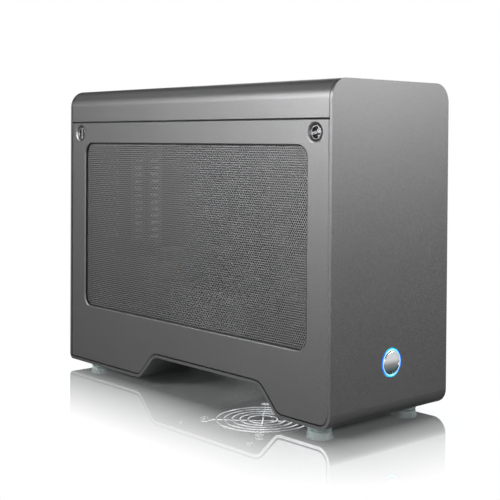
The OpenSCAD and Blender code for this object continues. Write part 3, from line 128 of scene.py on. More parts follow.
# Wire guard: its middle, the heights of rings, struts and ears, and its round sizes
GUARD_Y = -29 * MM
GUARD_RING_Z = 24.5 * MM
GUARD_STRUT_Z = 25.78 * MM
GUARD_EAR_Z = 26.7 * MM
GUARD_KNEE_Z = (GUARD_STRUT_Z + GUARD_EAR_Z) / 2 + 0.1 * MM
GUARD_WIRE = 1.6 * MM
GUARD_RADII = [40.3 * MM, 33.4 * MM, 26.5 * MM, 19.6 * MM, 12.7 * MM]
GUARD_EAR = 50.56 * MM
GUARD_EYE = 3.1 * MM
EYE_SIDES = 32

# Button: its middle, the ring round its disc, and the front sheet's thickness
BUTTON_Z = 48.2 * MM
FRONT_Y = -174 * MM
RING_OUTER = 11 * MM
RING_SPLIT = 9.95 * MM
RING_INNER = 9.3 * MM
RING_PROUD = 0.4 * MM
RING_FLANGE = 13.5 * MM
RING_ROUND = 0.3 * MM
RING_BACK = 4 * MM
SHEET = 2.5 * MM

# Routes of the leads, as in the solids, in millimetres
MAINS_D = 7
MAINS_ROUTE = [
    (34, 155, 53), (34, 145, 53), (33, 132, 54), (31, 118, 55), (28, 104, 56),
    (25, 90, 57), (24, 76, 58), (24, 64, 58), (24, 52, 58), (24, 44, 58),
]
SWITCH_D = 3
SWITCH_ROUTES = [
    [(26, 155, 57), (26, 149, 57), (22, 145, 58), (12, 144, 58), (2, 146, 57),
     (-4, 150, 56), (-5, 155, 55), (-5, 159.7, 54.5)],
    [(26, 155, 49), (26, 149, 49), (22, 144, 48), (10, 141, 48), (-4, 143, 49),
     (-10, 148, 51), (-11, 155, 52), (-11, 159.7, 51.5)],
]
DC_D = 8
DC_ROUTE = [
    (22, -74, 78), (22, -90, 78), (22, -100, 80), (22, -108, 86), (22, -110, 95),
    (22, -104, 103.5), (20, -90, 105), (12, -66, 103), (4, -42, 102.5), (0, -20, 102.5),
    (-2, -2, 103.5), (-4, 12, 109), (-5, 26, 112), (-5, 38, 112.05),
]
CARD_D = 6.5
CARD_ROUTE = [
    (42, -74, 78), (42, -90, 78), (42, -100, 80), (42, -108, 86), (42, -110.5, 95),
    (42, -115, 101.5), (40, -128, 102), (28, -141, 102), (8, -147, 102), (-14, -143, 102),
    (-28, -130, 102), (-33, -112, 102), (-33, -94, 102), (-33, -84, 102),
]
BUTTON_LEAD_D = 3
BUTTON_ROUTE = [
    (0, -148.8, 48.2), (0, -140, 48.2), (8, -132, 52), (22, -130, 62), (36, -132, 74),
    (45, -136, 86), (46, -137, 96), (48, -132, 100), (54, -118, 100), (56, -100, 100),
    (56, -74, 100), (56, -48, 100), (56, -22, 100), (52, 4, 101), (43, 16, 104),
    (37, 23, 108.5), (36, 28, 109.15),
]

# How finely tubes and their curves are built
TUBE_SIDES = 14
CURVE_STEPS = 8

# Screws whose solids lie a quarter turn round from the photograph
TURNED_SCREWS = ["panel_screw_front", "panel_screw_rear"]

# How far the edges of each solid are broken, in millimetres
FINE_EDGES = {
    "wrap_frame": 0.8, "top_cover": 0.5, "side_panel": 0.2, "panel_screw_front": 0.15,
    "panel_screw_rear": 0.15, "screw_cups": 0.1, "feet": 0.5, "guard_screws": 0.25,
    "supply_screws": 0.25, "rear_screws": 0.25, "inlet_screws": 0.2, "mains_inlet": 0.3,
    "rocker_bezel": 0.25, "rocker": 0.25, "port_shells": 0.05, "slot_blanks": 0.15,
    "slot_ledge": 0.2, "blank_screws": 0.2, "fan_frame": 0.3, "fan_rotor": 0.2,
    "button_disc": 0.15, "rail_left": 0.2, "rail_right": 0.2, "card_shelf": 0.2,
    "supply_base": 0.15, "supply_lid": 0.2, "slot_board": 0.1, "card_connector": 0.3,
    "board_heatsink": 0.15, "board_parts": 0.3, "board_standoffs": 0.15, "card_plugs": 0.5,
    "supply_plug": 0.6, "supply_socket": 0.3, "foot_screws": 0.2, "rail_nuts": 0.2,
    "panel_keepers": 0.2, "cover_brackets": 0.2, "panel_lugs": 0.2, "button_housing": 0.2,
    "button_switch": 0.3, "shelf_studs": 0.15, "inlet_pins": 0.3, "mesh_rivets": 0.15,
    "screw_clip_front": 0.1, "screw_clip_rear": 0.1, "supply_board": 0.1,
    "supply_heatsinks": 0.1, "supply_coils": 0.3, "supply_capacitors": 0.6, "fan_motor": 0.3,
}
# Wider edges on the outer sides of a sheet, and solids whose edges may run into each other
SIDE_EDGES = {"side_panel": 1 * MM}
FREE_EDGES = ["top_cover"]
EDGE_SEGMENTS = 2
SHARP_ANGLE = math.radians(30)
FLAT_ANGLE = math.radians(0.5)
ROUND_ANGLE = math.radians(50)
RING_ANGLE = math.radians(40)
MERGE_REACH = 0.002 * MM
SIDE_REACH = 0.01 * MM


# Short calls for shader nodes, whose owner is a material or the world
def new_material(name):
    material = bpy.data.materials.new(name)
    material.use_nodes = True
    return material, material.node_tree.nodes["Principled BSDF"]


def add(owner, kind, **values):
    node = owner.node_tree.nodes.new(kind)
    for key, value in values.items():
        setattr(node, key, value)
    return node


def link(owner, start, end):
    owner.node_tree.links.new(start, end)


def set_inputs(node, values):
    for key, value in values.items():
        node.inputs[key].default_value = value


def object_axes(owner, output="Object"):
    place = add(owner, "ShaderNodeTexCoord")
    split = add(owner, "ShaderNodeSeparateXYZ")
    link(owner, place.outputs[output], split.inputs["Vector"])
    return split.outputs


def object_place(material, stretch=(1, 1, 1)):
    place = add(material, "ShaderNodeTexCoord")
    mapping = add(material, "ShaderNodeMapping")
    mapping.inputs["Scale"].default_value = stretch
    link(material, place.outputs["Object"], mapping.inputs["Vector"])
    return mapping.outputs["Vector"]


def noise(material, place, scale, detail=4, rough=0.6):
    node = add(material, "ShaderNodeTexNoise")
    set_inputs(node, {"Scale": scale, "Detail": detail, "Roughness": rough})
    link(material, place, node.inputs["Vector"])
    return node.outputs["Fac"]


def ramp(material, factor, stops):
    node = add(material, "ShaderNodeValToRGB")
    while len(node.color_ramp.elements) < len(stops):
        node.color_ramp.elements.new(0.5)
    for element, (position, colour) in zip(node.color_ramp.elements, stops):
        element.position = position
        element.color = (*colour, 1)
    link(material, factor, node.inputs["Fac"])
    return node.outputs["Color"]


def map_range(material, factor, low, high, start=0.3, end=0.7):
    node = add(material, "ShaderNodeMapRange")
    set_inputs(node, {"From Min": start, "From Max": end, "To Min": low, "To Max": high})
    link(material, factor, node.inputs["Value"])
    return node.outputs["Result"]


def bump(material, height, distance, strength=1.0, normal=None):
    node = add(material, "ShaderNodeBump")
    set_inputs(node, {"Distance": distance, "Strength": strength})
    link(material, height, node.inputs["Height"])
    if normal is not None:
        link(material, normal, node.inputs["Normal"])
    return node.outputs["Normal"]


def product(material, first, second):
    node = add(material, "ShaderNodeMath", operation="MULTIPLY")
    link(material, first, node.inputs[0])
    link(material, second, node.inputs[1])
    return node.outputs["Value"]


def mixed(material, factor, first, second, blend="MIX"):
    node = add(material, "ShaderNodeMix", data_type="RGBA", blend_type=blend)
    inputs = {socket.identifier: socket for socket in node.inputs}
    outputs = {socket.identifier: socket for socket in node.outputs}
    for name, value in (("Factor_Float", factor), ("A_Color", first), ("B_Color", second)):
        if isinstance(value, bpy.types.NodeSocket):
            link(material, value, inputs[name])
        else:
            inputs[name].default_value = value
    return outputs["Result_Color"]


def shade(colour, factor):
    return tuple(min(1, part * factor) for part in colour)


# A finish with a mottled colour, uneven gloss and a fine grain
def finish(name, colour, metal=0.0, rough=0.4, uneven=0.06, spread=0.06, mottle=40.0,
           grain=1500.0, depth=0.02 * MM, stretch=(1, 1, 1), **sockets):
    material, shader = new_material(name)
    place = object_place(material, stretch)
    broad = noise(material, place, mottle, 5)
    fine = noise(material, place, grain, 3, 0.7)
    dark = shade(colour, 1 - spread)
    light = shade(colour, 1 + spread)
    gloss = map_range(material, broad, rough - uneven, rough + uneven)
    link(material, ramp(material, broad, [(0.3, dark), (0.7, light)]), shader.inputs["Base Color"])
    link(material, gloss, shader.inputs["Roughness"])
    link(material, bump(material, fine, depth), shader.inputs["Normal"])
    shader.inputs["Metallic"].default_value = metal
    for key, value in sockets.items():
        shader.inputs[key.replace("_", " ")].default_value = value
    return material


# One on the shell's inner faces, which get painted shade, and zero on its outer skin
def painted_inner_shade(material):
    axes = object_axes(material)
    share = map_range(material, axes["Z"], 0, 1, INNER_LOW, INNER_LOW + SOFT_EDGE)
    for axis, limit in (("Z", INNER_HIGH), ("X", INNER_SIDE), ("Y", INNER_END)):
        size = add(material, "ShaderNodeMath", operation="ABSOLUTE")
        link(material, axes[axis], size.inputs[0])
        within = map_range(material, size.outputs[0], 1, 0, limit, limit + SOFT_EDGE)
        share = product(material, share, within)
    return share


# Blasted and anodised sheet: a bead-blast grain over a faint cloudy tone, with painted shade on its
# inner faces where asked
def blasted(name, colour, rough=0.42, inner_shaded=False):
    material, shader = new_material(name)
    place = object_place(material)
    cloud = noise(material, place, 9, 3)
    grain = noise(material, place, GRAIN_SCALE, 3, 0.8)
    speck = noise(material, place, SPECK_SCALE, 2, 0.9)
    tone = ramp(material, cloud, [(0.3, shade(colour, 0.97)), (0.7, shade(colour, 1.03))])
    speckle = ramp(material, grain, [(0.3, (0.74, 0.74, 0.74)), (0.7, (1, 1, 1))])
    surface = mixed(material, 1, tone, speckle, "MULTIPLY")
    # Painted shade: the inner faces are darkened to stand in for the shade inside the box
    if inner_shaded:
        painted_shade = ramp(material, painted_inner_shade(material), [(0.4, (1, 1, 1)), (0.6, INNER_SHADE)])
        surface = mixed(material, 1, surface, painted_shade, "MULTIPLY")
    gloss = map_range(material, grain, rough - 0.05, rough + 0.05)
    link(material, surface, shader.inputs["Base Color"])
    link(material, gloss, shader.inputs["Roughness"])
    coarse = bump(material, grain, GRAIN_DEPTH, 0.8)
    link(material, bump(material, speck, SPECK_DEPTH, 0.8, coarse), shader.inputs["Normal"])
    shader.inputs["Metallic"].default_value = 1
    shader.inputs["Specular Tint"].default_value = (0.3, 0.3, 0.3, 1)
    return material


# Circuit board: lacquered tracks between a scatter of pads
def circuit(name):
    material, shader = new_material(name)
    place = object_place(material)
    tracks = add(material, "ShaderNodeTexBrick", offset=0.5, squash=0.7)
    set_inputs(tracks, {"Scale": 90, "Mortar Size": 0.03, "Brick Width": 0.9, "Row Height": 0.16})
    tracks.inputs["Color1"].default_value = (0.012, 0.05, 0.032, 1)
    tracks.inputs["Color2"].default_value = (0.016, 0.075, 0.045, 1)
    tracks.inputs["Mortar"].default_value = (0.03, 0.13, 0.075, 1)
    link(material, place, tracks.inputs["Vector"])
    pads = add(material, "ShaderNodeTexVoronoi", feature="F1")
    pads.inputs["Scale"].default_value = 260
    link(material, place, pads.inputs["Vector"])
    mask = map_range(material, pads.outputs["Distance"], 1, 0, 0.17, 0.2)
    surface = mixed(material, mask, tracks.outputs["Color"], (0.62, 0.6, 0.52, 1))
    link(material, surface, shader.inputs["Base Color"])
    link(material, mask, shader.inputs["Metallic"])
    link(material, bump(material, tracks.outputs["Fac"], 0.03 * MM), shader.inputs["Normal"])
    shader.inputs["Roughness"].default_value = 0.32
    return material


# Lacquered copper wire wound round a core
def winding(name):
    material, shader = new_material(name)
    place = object_place(material)
    turns = add(material, "ShaderNodeTexWave", wave_type="BANDS", bands_direction="DIAGONAL")
    set_inputs(turns, {"Scale": 420, "Distortion": 0.4, "Detail": 1})
    link(material, place, turns.inputs["Vector"])
    tone = ramp(material, turns.outputs["Fac"], [(0.1, (0.16, 0.06, 0.02)), (0.7, (0.72, 0.36, 0.15))])
    link(material, tone, shader.inputs["Base Color"])
    link(material, bump(material, turns.outputs["Fac"], 0.25 * MM), shader.inputs["Normal"])
    set_inputs(shader, {"Metallic": 0.85, "Roughness": 0.3, "Coat Weight": 0.4})
    return material


# Clear grey rubber of the feet
def clear_rubber(name):
    material, shader = new_material(name)
    place = object_place(material)
    cloud = noise(material, place, 260, 4)
    tone = ramp(material, cloud, [(0.3, (0.08, 0.105, 0.1)), (0.7, (0.11, 0.14, 0.135))])
    link(material, tone, shader.inputs["Base Color"])
    link(material, map_range(material, cloud, 0.3, 0.42), shader.inputs["Roughness"])
    link(material, bump(material, noise(material, place, 1800), 0.005 * MM), shader.inputs["Normal"])
    set_inputs(shader, {"Transmission Weight": 0.2, "IOR": 1.43, "Subsurface Weight": 0.3})
    shader.inputs["Subsurface Radius"].default_value = (4 * MM, 4 * MM, 4 * MM)
    shader.inputs["Subsurface Scale"].default_value = 1
    return material


# Share of the height of a disc round the button's middle
def button_share(material, radius):
    low = BUTTON_Z - radius
    return map_range(material, object_axes(material)["Z"], 0, 1, low, low + 2 * radius)


# Lit diffuser: deep blue at its sides, cyan at its top and foot
def glow(name, side, end, strength):
    material, shader = new_material(name)
    height = button_share(material, RING_OUTER)
    light = ramp(material, height, [(0.04, end), (0.2, side), (0.8, side), (0.96, end)])
    dim = mixed(material, 1, light, (0.1, 0.1, 0.1, 1), "MULTIPLY")
    link(material, dim, shader.inputs["Base Color"])
    link(material, light, shader.inputs["Emission Color"])
    grain = noise(material, object_place(material), 1500)
    link(material, bump(material, grain, 0.01 * MM), shader.inputs["Normal"])
    set_inputs(shader, {"Roughness": 0.5, "Specular IOR Level": 0.2, "Emission Strength": strength})
    return material


# Polished disc with a painted reflection: dark at its dished foot, where it would mirror the table,
# and bright at its top
def painted_reflection_disc(name, foot, top):
    material, shader = new_material(name)
    height = button_share(material, RING_INNER)
    # Painted reflection: the colour runs from dark at the foot to bright at the top
    tone = ramp(material, height, [(0.12, foot), (0.42, shade(top, 0.35)), (0.62, top)])
    link(material, tone, shader.inputs["Base Color"])
    wear = noise(material, object_place(material), 900)
    link(material, map_range(material, wear, 0.1, 0.16), shader.inputs["Roughness"])
    link(material, bump(material, wear, 0.004 * MM), shader.inputs["Normal"])
    shader.inputs["Metallic"].default_value = 1
    return material


# A material for each material slot of the record, and the inner ring's own
MATERIALS = {
    # Wrap and cover carry painted shade on their inner faces
    "shell_wrap": blasted("blasted_wrap", SHELL_TONE, inner_shaded=True),
    "shell_cover": blasted("blasted_cover", SHELL_TONE, inner_shaded=True),
    "shell_panel": blasted("blasted_panel", SHELL_TONE),
    "mesh_black": blasted("blasted_mesh", MESH_TONE, 0.5),
    "rivet_steel": finish("rivet_steel", (0.45, 0.45, 0.46), 1, 0.35),
    "zinc_steel": finish("zinc_steel", (0.55, 0.56, 0.58), 1, 0.3, 0.1, 0.12, 120),
    "screw_chrome": finish("dark_nickel", (0.2, 0.2, 0.205), 1, 0.12, 0.03, 0.04, 200, 1500,
                           0.004 * MM),
    "spring_steel": finish("spring_steel", (0.24, 0.24, 0.26), 1, 0.3),
    "rail_steel": finish("rail_black", (0.035, 0.035, 0.038), 0, 0.45, Coat_Weight=0.2),
    "shelf_steel": finish("shelf_black", (0.035, 0.035, 0.038), 0, 0.45, Coat_Weight=0.2),
    "fastener_steel": finish("fastener_zinc", (0.5, 0.5, 0.51), 1, 0.28, 0.08, 0.1, 300),
    "foot_rubber": clear_rubber("clear_rubber"),
    # The button disc's colour holds a painted reflection
    "disc_chrome": painted_reflection_disc("polished_disc_painted_reflection", (0.02, 0.05, 0.055), (0.62, 0.63, 0.64)),
    "ring_glow": glow("ring_blue", (0, 0.16, 0.95), (0.02, 0.62, 0.95), 1.0),
    "housing_plastic": finish("housing_plastic", BLACK, 0, 0.5),
    "switch_plastic": finish("switch_plastic", (0.03, 0.03, 0.033), 0, 0.45),
    "supply_steel": finish("supply_dark", (0.16, 0.16, 0.165), 1, 0.36, 0.1, 0.12, 60, 900,
                           0.02 * MM, BRUSH_X),
    "circuit_board": circuit("circuit_board"),
    "sink_aluminium": finish("sink_aluminium", (0.62, 0.62, 0.64), 1, 0.35, stretch=(1, 1, 16)),
    "coil_copper": winding("copper_winding"),
    "can_plastic": finish("can_sleeve", (0.018, 0.018, 0.022), 0, 0.25, Coat_Weight=0.5),
    "fan_plastic": finish("fan_plastic", BLACK, 0, 0.42),
    "rotor_plastic": finish("rotor_plastic", (0.024, 0.024, 0.026), 0, 0.36),
    "guard_chrome": finish("guard_chrome", (0.72, 0.72, 0.73), 1, 0.14, 0.04, 0.04, 200),
    "inlet_plastic": finish("inlet_plastic", BLACK, 0, 0.28),
    "plug_plastic": finish("plug_plastic", BLACK, 0, 0.48),
    "lead_black": finish("lead_black", BLACK, 0, 0.42, depth=0.05 * MM),
    "lead_brown": finish("lead_brown", (0.11, 0.04, 0.018), 0, 0.4),
    "pin_brass": finish("brass", (0.75, 0.56, 0.24), 1, 0.25),
    "rocker_plastic": finish("rocker_plastic", BLACK, 0, 0.26),
    "connector_plastic": finish("connector_plastic", BLACK, 0, 0.44),
    "sink_black": finish("sink_black", (0.025, 0.025, 0.027), 0.6, 0.4),
    "port_steel": finish("port_steel", (0.6, 0.6, 0.61), 1, 0.25),
    "blank_steel": finish("blank_zinc", (0.3, 0.305, 0.31), 1, 0.36, 0.1, 0.1, 70, 900,
                          0.02 * MM, BRUSH_X),
}
INNER_RING = finish("ring_inner", (0.3, 0.5, 0.52), 0.4, 0.25, Emission_Color=(0.3, 0.8, 0.9, 1),
                    Emission_Strength=0.35)


# A new object that rides on the node's body and shows its material slot
def piece(name, mesh, node, material=None):
    obj = bpy.data.objects.new(name, mesh)
    bpy.context.scene.collection.objects.link(obj)
    mesh.materials.clear()
    mesh.materials.append(material or MATERIALS[NODE_SLOT[node]])
    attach(obj, NODE_BODY[node])
    return obj


def smooth(mesh, angle):
    mesh.polygons.foreach_set("use_smooth", [True] * len(mesh.polygons))
    mesh.set_sharp_from_angle(angle=angle)


# Share of the bevel that each sharp edge gets: all of it on the outer sides, little elsewhere
def weigh_edges(build, inside):
    weight = build.edges.layers.float.new("bevel_weight_edge")
    side = CAD_BOX[1][0]
    for edge in build.edges:
        if not edge.is_manifold or edge.calc_face_angle() < SHARP_ANGLE:
            continue
        outside = all(abs(abs(vertex.co.x) - side) < SIDE_REACH for vertex in edge.verts)
        edge[weight] = 1 if outside else inside


# Quarter turn about a screw's own axis, which brings its rib to the photograph's angle
def quarter_turn(node):
    low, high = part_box(node)
    centre = Vector((0, (low[1] + high[1]) / 2, (low[2] + high[2]) / 2))
    turn = Matrix.Rotation(math.radians(90), 4, "X")
    return Matrix.Translation(centre) @ turn @ Matrix.Translation(-centre)


# Copy of a CAD solid's mesh, without its doubled points and the cuts across flat faces
def clean_copy(node, width):
    mesh = frame["nodes"][node].data.copy()
    mesh.name = node + "_fine"
    if node in TURNED_SCREWS:
        mesh.transform(quarter_turn(node))
    build = bmesh.new()
    build.from_mesh(mesh)
    bmesh.ops.remove_doubles(build, verts=build.verts, dist=MERGE_REACH)
    bmesh.ops.dissolve_limit(
        build, angle_limit=FLAT_ANGLE, verts=build.verts, edges=build.edges
    )
    if node in SIDE_EDGES:
        weigh_edges(build, width / SIDE_EDGES[node])
    build.to_mesh(mesh)
    build.free()
    smooth(mesh, SHARP_ANGLE)
    return mesh


# A CAD solid with its edges broken, in place of the node
def refine(node, width):
    obj = piece(node + "_fine", clean_copy(node, width), node)
    edges = obj.modifiers.new("edges", "BEVEL")
    edges.width = width
    edges.segments = EDGE_SEGMENTS
    edges.limit_method = "ANGLE"
    edges.angle_limit = SHARP_ANGLE
    edges.use_clamp_overlap = node not in SIDE_EDGES and node not in FREE_EDGES
    if node in SIDE_EDGES:
        edges.width = SIDE_EDGES[node]
        edges.limit_method = "WEIGHT"
    normals = obj.modifiers.new("normals", "WEIGHTED_NORMAL")
    normals.keep_sharp = True
    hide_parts(node)


def directions(path, closed):
    count = len(path)
    result = []
    for i in range(count):
        before = path[i - 1] if closed or i else path[0]
        after = path[(i + 1) % count] if closed or i < count - 1 else path[-1]
        result.append((after - before).normalized())
    return result


# Tube of round section along points, open or closed on itself
def tube_mesh(name, points, radius, closed=False):
    path = [Vector(point) for point in points]
    tangents = directions(path, closed)
    normal = tangents[0].orthogonal().normalized()
    vertices = []
    for point, tangent in zip(path, tangents):
        normal = (normal - tangent * normal.dot(tangent)).normalized()
        side = tangent.cross(normal)
        for k in range(TUBE_SIDES):
            turn = 2 * math.pi * k / TUBE_SIDES
            vertices.append(point + radius * (math.cos(turn) * normal + math.sin(turn) * side))
    mesh = bpy.data.meshes.new(name)
    mesh.from_pydata(vertices, [], tube_faces(len(path), closed))
    smooth(mesh, ROUND_ANGLE)
    return mesh


def tube_faces(count, closed):
    faces = []
    for i in range(count if closed else count - 1):
        start = i * TUBE_SIDES
        end = (i + 1) % count * TUBE_SIDES
        for k in range(TUBE_SIDES):
            m = (k + 1) % TUBE_SIDES
            faces.append((start + k, start + m, end + m, end + k))
    if not closed:
        faces.append(tuple(reversed(range(TUBE_SIDES))))
        faces.append(tuple(range((count - 1) * TUBE_SIDES, count * TUBE_SIDES)))
    return faces


# Smooth curve through the set points of a lead or a wire
def through(points):
    path = [Vector(point) for point in points]
    padded = [2 * path[0] - path[1], *path, 2 * path[-1] - path[-2]]
    result = []
    for a, b, c, d in zip(padded, padded[1:], padded[2:], padded[3:]):
        for i in range(CURVE_STEPS):
            t = i / CURVE_STEPS
            result.append(0.5 * (2 * b + (c - a) * t + (2 * a - 5 * b + 4 * c - d) * t * t
                                 + (3 * b - a - 3 * c + d) * t ** 3))
    return [*result, path[-1]]


def joined(name, meshes):
    build = bmesh.new()
    for mesh in meshes:
        build.from_mesh(mesh)
        bpy.data.meshes.remove(mesh)
    mesh = bpy.data.meshes.new(name)
    build.to_mesh(mesh)
    build.free()
    smooth(mesh, ROUND_ANGLE)
    return mesh


# Leads of one node, each along its own route
def lead(name, node, routes, diameter):
    meshes = [
        tube_mesh(name, through([Vector(p) * MM for p in route]), diameter / 2 * MM)
        for route in routes
    ]
    obj = piece(name, joined(name, meshes), node)
    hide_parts(node)


# Ring turned about the button's axis from a closed section of (radius, depth) points
def turned(name, section, node, material=None):
    count = len(section)
    vertices = []
    faces = []
    for i in range(CIRCLE_SIDES):
        turn = 2 * math.pi * i / CIRCLE_SIDES
        for radius, depth in section:
            vertices.append((radius * math.cos(turn), FRONT_Y + depth,
                             BUTTON_Z + radius * math.sin(turn)))
        j = (i + 1) % CIRCLE_SIDES
        for k in range(count):
            m = (k + 1) % count
            faces.append((i * count + k, j * count + k, j * count + m, i * count + m))
    mesh = bpy.data.meshes.new(name)
    mesh.from_pydata(vertices, [], faces)
    build = bmesh.new()
    build.from_mesh(mesh)
    bmesh.ops.recalc_face_normals(build, faces=build.faces)
    build.to_mesh(mesh)
    build.free()
    smooth(mesh, RING_ANGLE)
    return piece(name, mesh, node, material)


# Middles of the mesh's cells, in rows that are staggered by half a cell
def cell_middles(low, high):
    row = 1.5 * MESH_PITCH / math.sqrt(3)
    columns = int((high[1] - low[1]) / MESH_PITCH) - 1
    rows = int((high[2] - low[2] - 2 * MESH_PITCH / math.sqrt(3)) / row)
    j, i = np.mgrid[0:rows + 1, 0:columns]
    y = (i + 0.5 * (j % 2) - (columns - 0.5) / 2 + 0.25) * MESH_PITCH + (low[1] + high[1]) / 2
    z = (j - rows / 2) * row + (low[2] + high[2]) / 2
    return np.stack([y.ravel(), z.ravel()], axis=1)


# Points of the cells and holes in their plane, and which of them each cell and hole has
def cell_points(middles):
    turns = np.radians(np.arange(6) * 60 + 30)
    spokes = np.stack([np.cos(turns), np.sin(turns)], axis=1)
    corners = (middles[:, None] + spokes * (MESH_PITCH / math.sqrt(3))).reshape(-1, 2)
    holes = (middles[:, None] + spokes * (MESH_HOLE / math.sqrt(3))).reshape(-1, 2)
    keys = np.round(corners / (MESH_PITCH / 8)).astype(int)
    _, first, index = np.unique(keys, axis=0, return_index=True, return_inverse=True)
    outer = index.reshape(-1, 6)
    inner = len(first) + np.arange(len(holes)).reshape(-1, 6)
    return np.concatenate([corners[first], holes]), outer, inner


# Faces of the perforated sheet: both sides, the walls of the holes and the sheet's rim
def cell_faces(outer, inner, back):
    outer_next = np.roll(outer, -1, axis=1)
    inner_next = np.roll(inner, -1, axis=1)
    front_faces = np.stack([outer, inner, inner_next, outer_next], axis=-1).reshape(-1, 4)
    back_faces = front_faces[:, ::-1] + back
    walls = np.stack([inner, inner + back, inner_next + back, inner_next], axis=-1).reshape(-1, 4)
    edges = np.stack([outer, outer_next], axis=-1).reshape(-1, 2)
    _, position, uses = np.unique(
        np.sort(edges, axis=1), axis=0, return_index=True, return_counts=True
    )
    rim = edges[position[uses == 1]]
    rims = np.column_stack([rim[:, 0], rim[:, 1], rim[:, 1] + back, rim[:, 0] + back])
    return np.concatenate([front_faces, back_faces, walls, rims])


# Fine staggered mesh: a sheet of six-sided cells, each with its hole
def perforated_sheet():
    low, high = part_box("panel_mesh")
    flat, outer, inner = cell_points(cell_middles(low, high))
    count = len(flat)
    vertices = np.concatenate([
        np.column_stack([np.full(count, low[0] + depth), flat]) for depth in (0, MESH_SHEET)
    ])
    mesh = bpy.data.meshes.new("fine_mesh")
    mesh.from_pydata(vertices.tolist(), [], cell_faces(outer, inner, count).tolist())
    obj = piece("fine_mesh", mesh, "panel_mesh")
    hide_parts("panel_mesh")


def circle(centre, radius, steps):
    return [
        centre + Vector((radius * math.cos(angle), radius * math.sin(angle), 0))
        for angle in np.linspace(0, 2 * math.pi, steps, endpoint=False)
    ]


# Guard: rings, and wires that cross them, rise to the sheet and end in eyes
def wire_guard():
    centre = Vector((0, GUARD_Y, 0))
    radius = GUARD_WIRE / 2
    meshes = [
        tube_mesh("ring", circle(centre + Vector((0, 0, GUARD_RING_Z)), size, CIRCLE_SIDES),
                  radius, closed=True)
        for size in GUARD_RADII
    ]
    rise = GUARD_RADII[0] + GUARD_WIRE
    line = through([
        (0, 0, GUARD_STRUT_Z), (rise / 2, 0, GUARD_STRUT_Z), (rise, 0, GUARD_STRUT_Z),
        (rise + 2 * GUARD_WIRE, 0, GUARD_KNEE_Z), (GUARD_EAR - GUARD_EYE, 0, GUARD_EAR_Z),
    ])
    eye = circle(Vector((GUARD_EAR, 0, GUARD_EAR_Z)), GUARD_EYE, EYE_SIDES)
    for quarter in range(4):
        turn = Matrix.Rotation(math.radians(45 + 90 * quarter), 3, "Z")
        meshes.append(tube_mesh("wire", [centre + turn @ point for point in line], radius))
        meshes.append(tube_mesh("eye", [centre + turn @ point for point in eye], radius, closed=True))
    obj = piece("wire_guard", joined("wire_guard", meshes), "fan_guard")
    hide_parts("fan_guard")


# Lit ring of the button: a coloured diffuser round a bright inner ring
def button_ring():
    outer = [
        (RING_SPLIT, -0.6 * RING_PROUD), (RING_SPLIT + RING_ROUND, -RING_PROUD),
        (RING_OUTER - RING_ROUND, -RING_PROUD), (RING_OUTER, -0.3 * RING_PROUD),
        (RING_OUTER, SHEET), (RING_FLANGE, SHEET), (RING_FLANGE, RING_BACK),
        (RING_SPLIT, RING_BACK),
    ]
    inner = [
        (RING_INNER, -0.4 * RING_PROUD), (RING_INNER + RING_ROUND / 2, -0.8 * RING_PROUD),
        (RING_SPLIT - RING_ROUND / 2, -0.8 * RING_PROUD), (RING_SPLIT, -0.5 * RING_PROUD),
        (RING_SPLIT, RING_BACK), (RING_INNER, RING_BACK),
    ]
    diffuser = turned("ring_diffuser", outer, "light_ring")
    turned("ring_bright", inner, "light_ring", INNER_RING)
    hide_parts("light_ring")


def camera():
    data = bpy.data.cameras.new("camera")
    data.lens = CAMERA_LENS
    data.shift_y = CAMERA_SHIFT_Y
    data.clip_end = CAMERA_REACH
    obj = bpy.data.objects.new("camera", data)
    bpy.context.scene.collection.objects.link(obj)
    turn = (
        Matrix.Rotation(math.radians(-CAMERA_AZIMUTH), 4, "Z")
        @ Matrix.Rotation(math.radians(90 + CAMERA_PITCH), 4, "X")
        @ Matrix.Rotation(math.radians(CAMERA_ROLL), 4, "Z")
    )
    obj.matrix_world = Matrix.Translation(CAMERA_PLACE) @ turn
    bpy.context.scene.camera = obj


# One where a ray comes from the camera, a reflection or a clear piece
def seen_rays(owner):
    rays = add(owner, "ShaderNodeLightPath").outputs
    share = rays["Is Camera Ray"]
    for kind in ("Is Glossy Ray", "Is Transmission Ray"):
        either = add(owner, "ShaderNodeMath", operation="MAXIMUM")
        link(owner, share, either.inputs[0])
        link(owner, rays[kind], either.inputs[1])
        share = either.outputs["Value"]
    return share


# Distance of a point of the floor from the object's footprint
def footprint_distance(material):
    steps = [("ABSOLUTE", (0, 0, 0)), ("SUBTRACT", FOOTPRINT), ("MAXIMUM", (0, 0, 0))]
    value = add(material, "ShaderNodeTexCoord").outputs["Object"]
    for operation, other in steps:
        node = add(material, "ShaderNodeVectorMath", operation=operation)
        node.inputs[1].default_value = other
        link(material, value, node.inputs[0])
        value = node.outputs["Vector"]
    length = add(material, "ShaderNodeVectorMath", operation="LENGTH")
    link(material, value, length.inputs[0])
    return length.outputs["Value"]


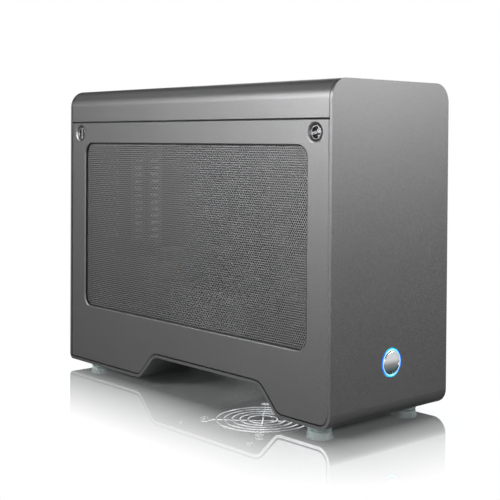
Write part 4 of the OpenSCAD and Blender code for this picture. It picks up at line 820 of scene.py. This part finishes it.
# Pale gloss, a mirror for the camera's own rays near the object, and plain white further out
def floor_material():
    material, shader = new_material("floor")
    cloud = noise(material, object_place(material), 6, 3)
    tone = ramp(material, cloud, [(0.3, (0.95, 0.98, 0.98)), (0.7, (0.96, 0.99, 0.99))])
    link(material, tone, shader.inputs["Base Color"])
    link(material, map_range(material, cloud, 0.015, 0.025), shader.inputs["Roughness"])
    camera_ray = add(material, "ShaderNodeLightPath").outputs["Is Camera Ray"]
    metal = map_range(material, camera_ray, 0, MIRROR_PART, 0, 1)
    link(material, metal, shader.inputs["Metallic"])
    away = add(material, "ShaderNodeMapRange")
    reach = map_range(material, camera_ray, SHADE_REACH, MIRROR_REACH, 0, 1)
    link(material, reach, away.inputs["From Max"])
    link(material, footprint_distance(material), away.inputs["Value"])
    mix = add(material, "ShaderNodeMixShader")
    white = add(material, "ShaderNodeEmission")
    share = product(material, away.outputs["Result"], seen_rays(material))
    link(material, share, mix.inputs["Fac"])
    link(material, shader.outputs["BSDF"], mix.inputs[1])
    link(material, white.outputs["Emission"], mix.inputs[2])
    output = material.node_tree.nodes["Material Output"]
    link(material, mix.outputs["Shader"], output.inputs["Surface"])
    return material


def floor():
    build = bmesh.new()
    bmesh.ops.create_circle(build, cap_ends=True, segments=CIRCLE_SIDES, radius=FLOOR_REACH)
    mesh = bpy.data.meshes.new("floor")
    build.to_mesh(mesh)
    build.free()
    mesh.materials.append(floor_material())
    obj = bpy.data.objects.new("floor", mesh)
    obj.location.z = -FLOOR_DEPTH
    bpy.context.scene.collection.objects.link(obj)


def surroundings():
    world = bpy.data.worlds.new("studio")
    world.use_nodes = True
    bpy.context.scene.world = world
    back = world.node_tree.nodes["Background"]
    height = object_axes(world, "Generated")["Z"]
    sky = ramp(world, height, [(0.0, (1, 1, 1)), (HORIZON_WHITE, (1, 1, 1)),
                               (SKY_START, (SKY_GREY,) * 3)])
    link(world, sky, back.inputs["Color"])


def lamp(name, place, aim, width, height, power):
    data = bpy.data.lights.new(name, "AREA")
    data.shape = "RECTANGLE"
    data.size = width
    data.size_y = height
    data.energy = power
    obj = bpy.data.objects.new(name, data)
    obj.location = place
    obj.rotation_euler = (Vector(aim) - Vector(place)).to_track_quat("-Z", "Y").to_euler()
    bpy.context.scene.collection.objects.link(obj)


bpy.context.scene.view_settings.view_transform = "Standard"
camera()
lead("mains_cord", "mains_lead", [MAINS_ROUTE], MAINS_D)
lead("switch_wires", "switch_leads", SWITCH_ROUTES, SWITCH_D)
lead("board_cord", "dc_lead", [DC_ROUTE], DC_D)
lead("card_cord", "card_lead", [CARD_ROUTE], CARD_D)
lead("button_cord", "button_lead", [BUTTON_ROUTE], BUTTON_LEAD_D)
for name, edge in FINE_EDGES.items():
    refine(name, edge * MM)
perforated_sheet()
wire_guard()
button_ring()
floor()
surroundings()
for name, values in LAMPS.items():
    lamp(name, *values)
